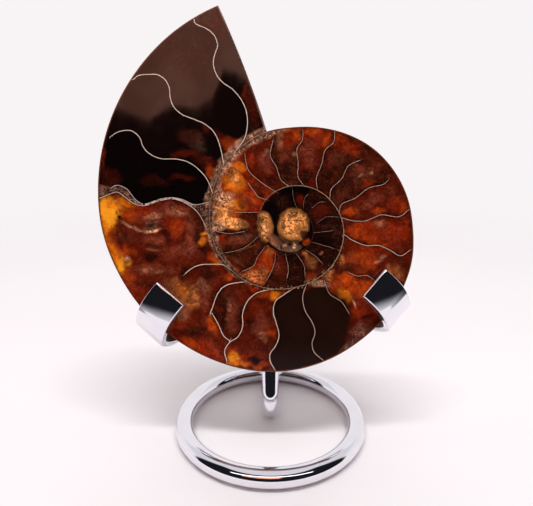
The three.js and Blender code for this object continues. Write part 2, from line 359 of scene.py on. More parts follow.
def weld_pad():
    """The flattened button of weld at the top, where strip and stem meet."""
    profile = [(PAD_RADIUS - PAD_BEVEL, 0.0), (PAD_RADIUS, PAD_BEVEL),
               (PAD_RADIUS, STRAP_THICKNESS - PAD_BEVEL), (PAD_RADIUS - PAD_BEVEL, STRAP_THICKNESS)]
    points = []
    for radius, depth in profile:
        for side in range(PAD_SIDES):
            angle = 2 * math.pi * side / PAD_SIDES
            x, y, z = radius * math.cos(angle), radius * math.sin(angle), depth - STRAP_THICKNESS / 2
            up = y * math.cos(PAD_TILT) + z * math.sin(PAD_TILT)
            out = -y * math.sin(PAD_TILT) + z * math.cos(PAD_TILT)
            points.append(APEX + [x, up, out + STRAP_THICKNESS / 2])
    points = np.array(points)
    return off_face(*points.T), tube_faces(len(profile), PAD_SIDES)


def joined(name, parts):
    """One closed solid from several that run into each other."""
    pieces = [solid(f"{name}_{k}", points, faces, 30) for k, (points, faces) in enumerate(parts)]
    whole = pieces[0]
    for other in pieces[1:]:
        union = whole.modifiers.new("join", "BOOLEAN")
        union.operation = "UNION"
        union.solver = "EXACT"
        union.object = other
    bpy.context.view_layer.update()
    mesh = bpy.data.meshes.new_from_object(whole.evaluated_get(bpy.context.evaluated_depsgraph_get()))
    for piece in pieces:
        bpy.data.objects.remove(piece)
    result = bpy.data.objects.new(name, mesh)
    mesh.shade_smooth()
    mesh.set_sharp_from_angle(angle=math.radians(32))
    bpy.context.scene.collection.objects.link(result)
    return result


cradle = joined("cradle_strap_bent", [strap_arm(HOOKS[0]), strap_arm(HOOKS[1]), weld_pad()])
cradle.data.materials.clear()
cradle.data.materials.append(chrome_finish("bright_chrome_cradle"))
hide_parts("cradle_strap")
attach(cradle, "root")


# The fossil is one half of an ammonite, a coiled shell turned to stone, sawn through its plane of
# coiling. Its front is ground flat and polished, and its back is the natural shell with its ribs.
COIL_ACROSS = 5.2
COIL_UP = 33.8
NOTCH_ANGLE = 105.0
RIM_RADII = (
    23.63, 23.85, 24.63, 25.69, 26.79, 27.58, 28.19, 28.58, 29.42, 29.97, 30.63, 31.36,
    32.58, 33.92, 35.27, 36.61, 38.29, 40.37, 42.7, 45.3, 47.6, 49.95, 52.17, 54.1,
)
# The same shell line followed inward from the notch, every 15 degrees, as the sawn face shows it
INNER_WALL_RADII = (
    22.93, 22.43, 21.3, 20.3, 19.5, 18.75, 17.8, 16.95, 15.9, 14.95, 14.15, 13.6,
    13.2, 12.92, 12.65, 12.35, 12.08, 11.75, 11.3, 11.0, 10.7, 10.4, 10.1, 9.82,
    9.6, 9.28, 8.85, 8.46, 8.1, 7.69, 7.25, 6.85, 6.54, 6.3, 6.1, 5.9,
    5.7, 5.5, 5.27, 5.05, 4.87, 4.75, 4.6, 4.45, 4.33, 4.25, 4.15, 4.05,
)
GROWTH_PER_WHORL = 2.34
MOUTH_SLANT = 3.6
MOUTH_SLANT_STARTS = 325.0
HALF_BREADTH = 0.3
BROADEST_AT = 0.44
UMBILICUS = 0.23
FLANK_POWER = 2.6
UMBILICAL_WALL_POWER = 0.7
RIBS_PER_WHORL = 30
RIB_HEIGHT = 0.012
RIB_SWEEP = 1.6
ROWS_PER_WHORL = 720
BACK_EVERY = 2
ACROSS_STEPS = (12, 28, 64)
EYE_RADIUS = 3.75
EYE_RINGS = 5
SHOULDER_STEPS = 5
FLANK_STEPS = 14


def through(table, turn, start):
    """A smooth curve through radii that are 15 degrees of turn apart, the first of them at start."""
    place = (np.asarray(turn, float) - start) / 15
    k = np.clip(np.floor(place).astype(int), 1, len(table) - 3)
    part = place - k
    a, b, c, d = (table[k + n] for n in (-1, 0, 1, 2))
    rise, fall = (c - a) / 2, (d - b) / 2
    return b + part * (rise + part * (3 * (c - b) - 2 * rise - fall + part * (2 * (b - c) + rise + fall)))


last_whorl = np.array(RIM_RADII)
grown_table = np.concatenate([last_whorl * GROWTH_PER_WHORL ** k for k in (-3, -2, -1, 0, 1)])
sawn_table = np.concatenate([INNER_WALL_RADII[::-1], last_whorl, last_whorl[:3] * GROWTH_PER_WHORL])


def grown_radius(turn):
    """Radius of the rim at a turn in degrees: 0 at the notch, 360 at the mouth, negative further in."""
    return through(grown_table, turn, -1080)


def sawn_radius(turn):
    """The same line where the saw cut shows it, to the edge of the eye."""
    return through(sawn_table, turn, -720)


def slant_at(turn):
    late = (np.asarray(turn, float) - MOUTH_SLANT_STARTS) / (360 - MOUTH_SLANT_STARTS)
    return MOUTH_SLANT * np.clip(late, 0, 1) ** 2


rim_at_notch = float(grown_radius(0))
rim_at_mouth = float(grown_radius(360))


def spiral_point(turn, radius, out=0.0):
    """Across, up and out of the face, for a turn and a radius. The mouth's end is cut at a slant."""
    reach = np.clip((radius - rim_at_notch) / (rim_at_mouth - rim_at_notch), 0, 1)
    angle = np.radians(NOTCH_ANGLE - turn + slant_at(turn) * reach)
    return np.stack(np.broadcast_arrays(COIL_ACROSS + radius * np.cos(angle),
                                        COIL_UP + radius * np.sin(angle), out), -1)


def rim(turn):
    return grown_radius(turn - slant_at(turn))


def bulge(share):
    """How far the whorl stands behind the sawn plane, at a share of the rim's radius."""
    share = np.asarray(share, float)
    flank = np.sqrt(1 - np.clip((share - BROADEST_AT) / (1 - BROADEST_AT), 0, 1) ** FLANK_POWER)
    seam_share = (UMBILICUS * GROWTH_PER_WHORL - BROADEST_AT) / (1 - BROADEST_AT)
    seam = math.sqrt(1 - seam_share ** FLANK_POWER) / GROWTH_PER_WHORL
    rise = np.clip((share - UMBILICUS) / (BROADEST_AT - UMBILICUS), 0, 1)
    wall = seam + (1 - seam) * np.sin(rise * math.pi / 2) ** UMBILICAL_WALL_POWER
    return np.where(share >= BROADEST_AT, flank, wall)


def rib(turn, share):
    middle = np.sin(math.pi * np.clip((share - UMBILICUS) / (1 - UMBILICUS), 0, 1))
    return RIB_HEIGHT * middle * np.cos(np.radians(turn) * RIBS_PER_WHORL + RIB_SWEEP * middle)


places = []
face_parts = []
FRONT, BACK, MOUTH = 0, 1, 2


def add_points(rows):
    first = len(places)
    places.extend(map(tuple, np.atleast_2d(rows)))
    return list(range(first, len(places)))


def zip_rows(here, beyond, part, flip=False):
    """Triangles between two rows of points, which may differ in number."""
    i = j = 0
    while i < len(here) - 1 or j < len(beyond) - 1:
        step_here = (i + 1) * (len(beyond) - 1) <= (j + 1) * (len(here) - 1)
        if step_here and i < len(here) - 1 or j == len(beyond) - 1:
            corner = (here[i], beyond[j], here[i + 1])
            i += 1
        else:
            corner = (here[i], beyond[j], beyond[j + 1])
            j += 1
        if len(set(corner)) == 3:
            face_parts.append((corner[::-1] if flip else corner, part))


# The sawn face is one long strip that winds inward, from wall to wall, a row every half degree
row_turn = 360 / ROWS_PER_WHORL
face_rows = {}
row_data = []
for i in range(-2 * ROWS_PER_WHORL, ROWS_PER_WHORL + 1):
    turn = i * row_turn
    steps = ACROSS_STEPS[min(i // ROWS_PER_WHORL + 2, 2)]
    inward = face_rows.get(i - ROWS_PER_WHORL)
    inner = float(sawn_radius(turn - 360)) if inward else EYE_RADIUS
    outer = float(rim(turn)) if turn >= 0 else float(sawn_radius(turn))
    radii = inner + (outer - inner) * np.linspace(0, 1, steps + 1)
    new = add_points(spiral_point(turn, radii[1:] if inward else radii))
    row_data += [(turn, inner, outer)] * len(new)
    face_rows[i] = ([inward[-1]] if inward else []) + new
    if i == -ROWS_PER_WHORL:
        zip_rows(face_rows[i - 1], inward + new, FRONT)
    elif i - 1 in face_rows:
        zip_rows(face_rows[i - 1], face_rows[i], FRONT)
eye_edge = [face_rows[i][0] for i in range(-2 * ROWS_PER_WHORL, -ROWS_PER_WHORL)]
ring_out = eye_edge
for ring in range(EYE_RINGS - 1, 0, -1):
    count = ROWS_PER_WHORL // 2
    turns = -720 + np.arange(count) * 360 / count
    ring_in = add_points(spiral_point(turns, EYE_RADIUS * ring / EYE_RINGS))
    zip_rows(ring_in + ring_in[:1], ring_out + ring_out[:1], FRONT, flip=True)
    ring_out = ring_in
middle = add_points([[COIL_ACROSS, COIL_UP, 0.0]])
zip_rows(middle, ring_out + ring_out[:1], FRONT, flip=True)
front_count = len(places)

# The natural back: shoulder and flank of the last whorl, and the shoulders of the older ones in its hollow
seam_share = UMBILICUS * GROWTH_PER_WHORL
shoulder = UMBILICUS * GROWTH_PER_WHORL ** (np.arange(SHOULDER_STEPS + 1) / SHOULDER_STEPS)
flank = seam_share + (1 - seam_share) * np.sin(np.arange(1, FLANK_STEPS) / FLANK_STEPS * math.pi / 2)
back_rows = {}
back_turns = {}
for i in range(-2 * ROWS_PER_WHORL, ROWS_PER_WHORL + 1, BACK_EVERY):
    turn = i * row_turn
    shares = shoulder if i < 0 else np.concatenate([shoulder, flank])
    inward = back_rows.get(i - ROWS_PER_WHORL)
    kept = shares[1:] if inward else shares
    depth = rim(turn) * (HALF_BREADTH * bulge(kept) + rib(turn, kept))
    row = add_points(spiral_point(turn, kept * rim(turn), -depth))
    back_turns.update({n: (turn, share) for n, share in zip(row, kept)})
    back_rows[i] = ([inward[SHOULDER_STEPS]] if inward else []) + row
    before = back_rows.get(i - BACK_EVERY)
    if before:
        width = min(len(before), len(back_rows[i]))
        zip_rows(before[:width], back_rows[i][:width], BACK, flip=True)
        if i > 0:
            rim_before, rim_middle, rim_here = (face_rows[i - k][-1] for k in (2, 1, 0))
            for corner in ((before[-1], rim_before, rim_middle), (before[-1], rim_middle, back_rows[i][-1]),
                           (rim_middle, rim_here, back_rows[i][-1])):
                face_parts.append((corner, BACK))
first_back = back_rows[-2 * ROWS_PER_WHORL]
eye_depth = places[first_back[0]][2]
navel = add_points([[COIL_ACROSS, COIL_UP, eye_depth]])
navel_edge = [back_rows[i][0] for i in range(-2 * ROWS_PER_WHORL, -ROWS_PER_WHORL, BACK_EVERY)]
zip_rows(navel, navel_edge + [back_rows[-ROWS_PER_WHORL][0]], BACK)
for j in range(SHOULDER_STEPS):
    face_parts.append(((navel[0], first_back[j + 1], first_back[j]), BACK))

# The broken mouth, between the last row of the back, the edge of the sawn face and the whorl it covers
mouth = (back_rows[ROWS_PER_WHORL] + face_rows[ROWS_PER_WHORL][::-1]
         + back_rows[0][SHOULDER_STEPS + 1:][::-1])
flat = []
for n in mouth:
    from_axis = math.hypot(places[n][0] - COIL_ACROSS, places[n][1] - COIL_UP)
    flat.append(Vector((from_axis, -places[n][2], 0)))
for a, b, c in geometry.tessellate_polygon([flat]):
    face_parts.append(((mouth[a], mouth[b], mouth[c]), MOUTH))

local = np.array(places)
half_low, half_high = np.array(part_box("ammonite_half")) / MM
stone_points = np.clip(off_face(*local.T), half_low, half_high)
fossil = solid("ammonite_half_stone", stone_points, [corner for corner, part in face_parts], 50)
stone_mesh = fossil.data
stone_mesh.polygons.foreach_set("material_index", [min(part, BACK) for corner, part in face_parts])


def give(name, kind, values, columns):
    """Stores numbers on the fossil's points for its finishes to read, with zeros past the sawn face."""
    full = np.zeros((len(places), columns))
    values = np.asarray(values, float)
    full[:len(values)] = values.reshape(len(values), -1)
    stone_mesh.attributes.new(name, kind, "POINT").data.foreach_set(
        {1: "value", 3: "vector", 4: "color"}[columns], full.ravel())


# Septa: the thin pale walls between the chambers, from the mouth inward. Each has half its thickness,
# how pale it is, and the points that it runs through, in millimetres across and up the face from its foot.
SEPTUM_STEPS_PER_MM = 3
SEARCH_REACH = 6.0
FAR_FROM_SEPTUM = 99.0
SEPTA = (
    (0.17, 1.0, ((-18.0, 82.9), (-17.8, 81.9), (-15.5, 80.8), (-13.9, 79.8), (-12.8, 78.2), (-12.5, 76.6),
                 (-13.3, 74.2), (-13.5, 72.3), (-12.9, 70.2), (-11.5, 68.3), (-9.1, 66.6), (-6.9, 64.0),
                 (-5.7, 61.1), (-5.5, 58.4), (-6.1, 55.2), (-8.4, 52.0))),
    (0.17, 0.95, ((-32.3, 68.9), (-31.2, 69.7), (-29.0, 70.0), (-26.6, 69.9), (-25.0, 68.9), (-23.9, 67.0),
                  (-23.7, 64.6), (-22.8, 62.4), (-21.0, 60.7), (-18.3, 59.6), (-15.6, 58.4), (-13.4, 56.5),
                  (-12.1, 53.6), (-11.1, 49.0))),
    (0.15, 0.95, ((-37.7, 55.5), (-36.4, 56.4), (-34.5, 56.9), (-32.9, 56.8), (-31.0, 55.3), (-30.1, 53.0),
                  (-28.6, 51.4), (-25.9, 50.3), (-22.4, 50.2), (-19.4, 49.4), (-16.9, 47.6), (-14.9, 45.1),
                  (-13.9, 42.6))),
    (0.13, 0.7, ((-37.7, 43.5), (-36.4, 44.0), (-34.2, 43.2), (-32.0, 40.6), (-30.1, 39.6), (-26.0, 40.8),
                 (-23.2, 41.1), (-20.6, 40.5), (-18.1, 39.4), (-14.9, 40.0))),
    (0.13, 0.75, ((-40.4, 41.0), (-38.4, 41.8), (-36.5, 42.4), (-34.6, 41.3), (-32.4, 39.7), (-30.1, 39.2),
                  (-26.2, 40.4), (-23.4, 40.8), (-20.6, 40.0), (-17.8, 38.1), (-16.2, 35.9), (-15.5, 34.3))),
    (0.15, 0.9, ((-20.4, 23.0), (-19.1, 24.1), (-16.9, 25.1), (-14.3, 25.3), (-11.1, 25.1), (-9.9, 24.1))),
    (0.16, 0.95, ((-6.0, 21.1), (-8.6, 20.8), (-11.1, 20.0), (-12.7, 18.1), (-13.7, 15.5), (-14.4, 13.6))),
    (0.15, 0.9, ((-14.0, 13.6), (-12.4, 10.7), (-11.2, 8.1), (-9.9, 7.1))),
    (0.16, 0.9, ((0.0, 19.4), (-3.6, 18.3), (-5.7, 16.2), (-6.7, 13.4), (-6.7, 10.4), (-7.9, 7.9),
                 (-9.7, 6.7), (-11.0, 4.6), (-10.5, 2.0))),
    (0.16, 0.9, ((5.2, 19.4), (3.1, 18.0), (1.2, 16.5), (0.6, 14.0), (1.4, 11.0), (2.0, 8.2), (1.2, 5.8),
                 (-0.1, 3.9), (-0.1, 2.1), (0.9, 0.2))),
    (0.12, 0.65, ((8.5, 20.4), (7.6, 17.4), (8.3, 14.0), (9.8, 11.6), (10.6, 9.1), (9.9, 6.4), (10.4, 4.2),
                 (12.5, 2.4))),
    (0.13, 0.35, ((12.8, 21.3), (14.0, 18.3), (17.0, 16.2), (18.6, 13.7))),
    (0.09, 0.55, ((-6.1, 51.2), (-5.3, 47.6), (-2.5, 44.9), (1.2, 42.4))),
    (0.09, 0.55, ((0.5, 54.5), (-0.1, 50.9), (1.2, 48.6), (2.5, 45.2), (4.2, 43.8))),
    (0.09, 0.6, ((7.6, 56.6), (7.5, 54.8), (6.2, 52.5), (6.5, 49.2), (6.5, 45.9), (7.7, 44.1))),
    (0.09, 0.6, ((15.1, 56.5), (14.9, 54.2), (12.8, 52.2), (12.1, 49.2), (10.8, 45.6), (11.0, 43.3))),
    (0.09, 0.62, ((21.1, 49.9), (18.4, 48.6), (16.8, 45.6), (14.2, 42.9), (14.0, 41.0))),
    (0.09, 0.62, ((27.8, 45.2), (26.8, 44.3), (23.1, 43.3), (20.1, 41.0), (16.8, 39.5), (16.2, 37.6))),
    (0.1, 0.72, ((32.8, 38.3), (30.5, 36.6), (26.2, 37.0), (22.5, 35.6), (19.8, 35.6), (16.8, 36.3))),
    (0.11, 0.8, ((33.2, 28.7), (30.9, 27.3), (28.2, 28.7), (25.9, 29.7), (22.5, 29.8), (19.5, 31.0),
                 (17.5, 32.3))),
    (0.09, 0.62, ((18.6, 23.3), (20.6, 22.5), (22.9, 22.6), (24.3, 21.8))),
    (0.08, 0.5, ((-8.4, 37.6), (-3.1, 37.6))),
    (0.08, 0.45, ((-13.5, 33.3), (-10.1, 32.6), (-6.1, 33.1))),
    (0.08, 0.4, ((-10.8, 28.0), (-7.5, 28.7), (-5.1, 30.0), (-2.8, 32.0))),
    (0.08, 0.45, ((-6.8, 23.6), (-4.1, 25.0), (-3.1, 27.0), (-1.5, 29.3))),
    (0.08, 0.45, ((-1.1, 21.3), (0.2, 23.6), (1.0, 26.0), (1.2, 28.0))),
    (0.09, 0.55, ((3.9, 22.0), (4.2, 24.3), (3.5, 27.7))),
    (0.08, 0.45, ((8.2, 22.6), (7.9, 25.0), (6.2, 27.7))),
    (0.1, 0.5, ((-5.4, 44.6), (-4.0, 42.6), (-3.0, 41.3), (-1.1, 40.6))),
    (0.1, 0.4, ((12.2, 25.6), (10.5, 27.3), (8.5, 28.6))),
    (0.07, 0.35, ((15.2, 29.0), (12.5, 29.8), (9.9, 30.5))),
    (0.07, 0.35, ((14.9, 33.3), (12.5, 33.0), (10.2, 32.8))),
    (0.07, 0.35, ((15.8, 36.5), (13.2, 36.5), (10.9, 35.0))),
    (0.07, 0.35, ((12.5, 40.1), (11.5, 40.0), (9.8, 38.6))),
    (0.07, 0.3, ((8.8, 41.9), (8.0, 40.9), (7.7, 38.6))),
    (0.07, 0.25, ((5.2, 42.9), (5.4, 40.9), (6.2, 38.6))),
)
face_spots = local[:front_count, :2]
nearest = np.full(front_count, FAR_FROM_SEPTUM)
signed = np.full(front_count, FAR_FROM_SEPTUM)
thickness = np.zeros(front_count)
paleness = np.zeros(front_count)
for half_width, pale, corners in SEPTA:
    reach = np.linalg.norm(np.diff(corners, axis=0), axis=1).sum()
    line = smooth_curve(corners, np.linspace(0, 1, int(reach * SEPTUM_STEPS_PER_MM)))[0]
    for start, end in zip(line[:-1], line[1:]):
        close = np.nonzero((np.abs(face_spots - start).max(axis=1)) < SEARCH_REACH)[0]
        step, gap = end - start, face_spots[close] - start
        part = np.clip(gap @ step / (step @ step), 0, 1)
        away = gap - part[:, None] * step
        distance = np.linalg.norm(away, axis=1)
        side = np.sign(step[0] * gap[:, 1] - step[1] * gap[:, 0])
        nearer = distance < nearest[close]
        chosen = close[nearer]
        nearest[chosen] = distance[nearer]
        signed[chosen] = (distance * side)[nearer]
        thickness[chosen] = half_width
        paleness[chosen] = pale
give("septum_line", "FLOAT_VECTOR", np.stack([signed, nearest, thickness], 1), 3)

# The shell's own wall winds along both edges of the strip: how far it is, and the turn that it has there
FAR_FROM_WALL = 9.0
FAR_FROM_RIM = 50.0
turn_at, inner_at, outer_at = np.array(row_data).T
radius_at = np.hypot(face_spots[:, 0] - COIL_ACROSS, face_spots[:, 1] - COIL_UP)
strip = len(row_data)
wall_gap = np.full(front_count, FAR_FROM_WALL)
wall_gap[:strip] = np.minimum(np.abs(radius_at[:strip] - inner_at), np.abs(outer_at - radius_at[:strip]))
rim_gap = np.full(front_count, FAR_FROM_RIM)
rim_gap[:strip] = np.where(turn_at >= 0, outer_at - radius_at[:strip], FAR_FROM_RIM)
wall_is_outer = np.zeros(front_count)
wall_is_outer[:strip] = outer_at - radius_at[:strip] < radius_at[:strip] - inner_at
wall_turn = np.full(front_count, -720.0)
wall_turn[:strip] = turn_at - np.where(wall_is_outer[:strip] > 0, 0, 360)
give("shell_wall", "FLOAT_VECTOR", np.stack([wall_gap, rim_gap, wall_turn / 360], 1), 3)

# The tones that fill the chambers
TONES = {
    "black": "080303", "night": "0e0605", "slate": "1c0f09", "umber": "200b06", "brown": "3a1508",
    "mahogany": "541707", "rust": "8c2906", "orange": "b84a09", "amber": "e88a18", "honey": "ffb62c",
    "tan": "c4854a", "gold": "f0b468", "gravel": "a88c78", "sand": "b08465", "cream": "e0ba96",
    "mauve": "7c3f30", "matrix": "665248",
}
# The same tones as grain: none where the calcite is clear, full where it is a crust of small crystals
GRAIN = {
    "black": 0.0, "night": 0.0, "slate": 0.05, "umber": 0.25, "brown": 0.4, "mahogany": 0.35,
    "rust": 0.5, "orange": 0.6, "amber": 0.45, "honey": 0.25, "tan": 1.0, "gold": 0.9, "gravel": 1.0,
    "sand": 1.0, "cream": 1.0, "mauve": 0.8, "matrix": 1.0,
}
# The chambers' own tones, counted from the mouth inward
CHAMBER_TONES = (
    "night", "night", "night", "black", "matrix", "mahogany", "mahogany", "slate", "mahogany", "mahogany",
    "mahogany", "brown", "brown", "mahogany", "brown", "mahogany", "rust", "rust", "brown", "brown",
    "brown", "rust", "brown", "umber", "brown", "umber", "umber", "umber", "umber", "umber", "black", "black",
)
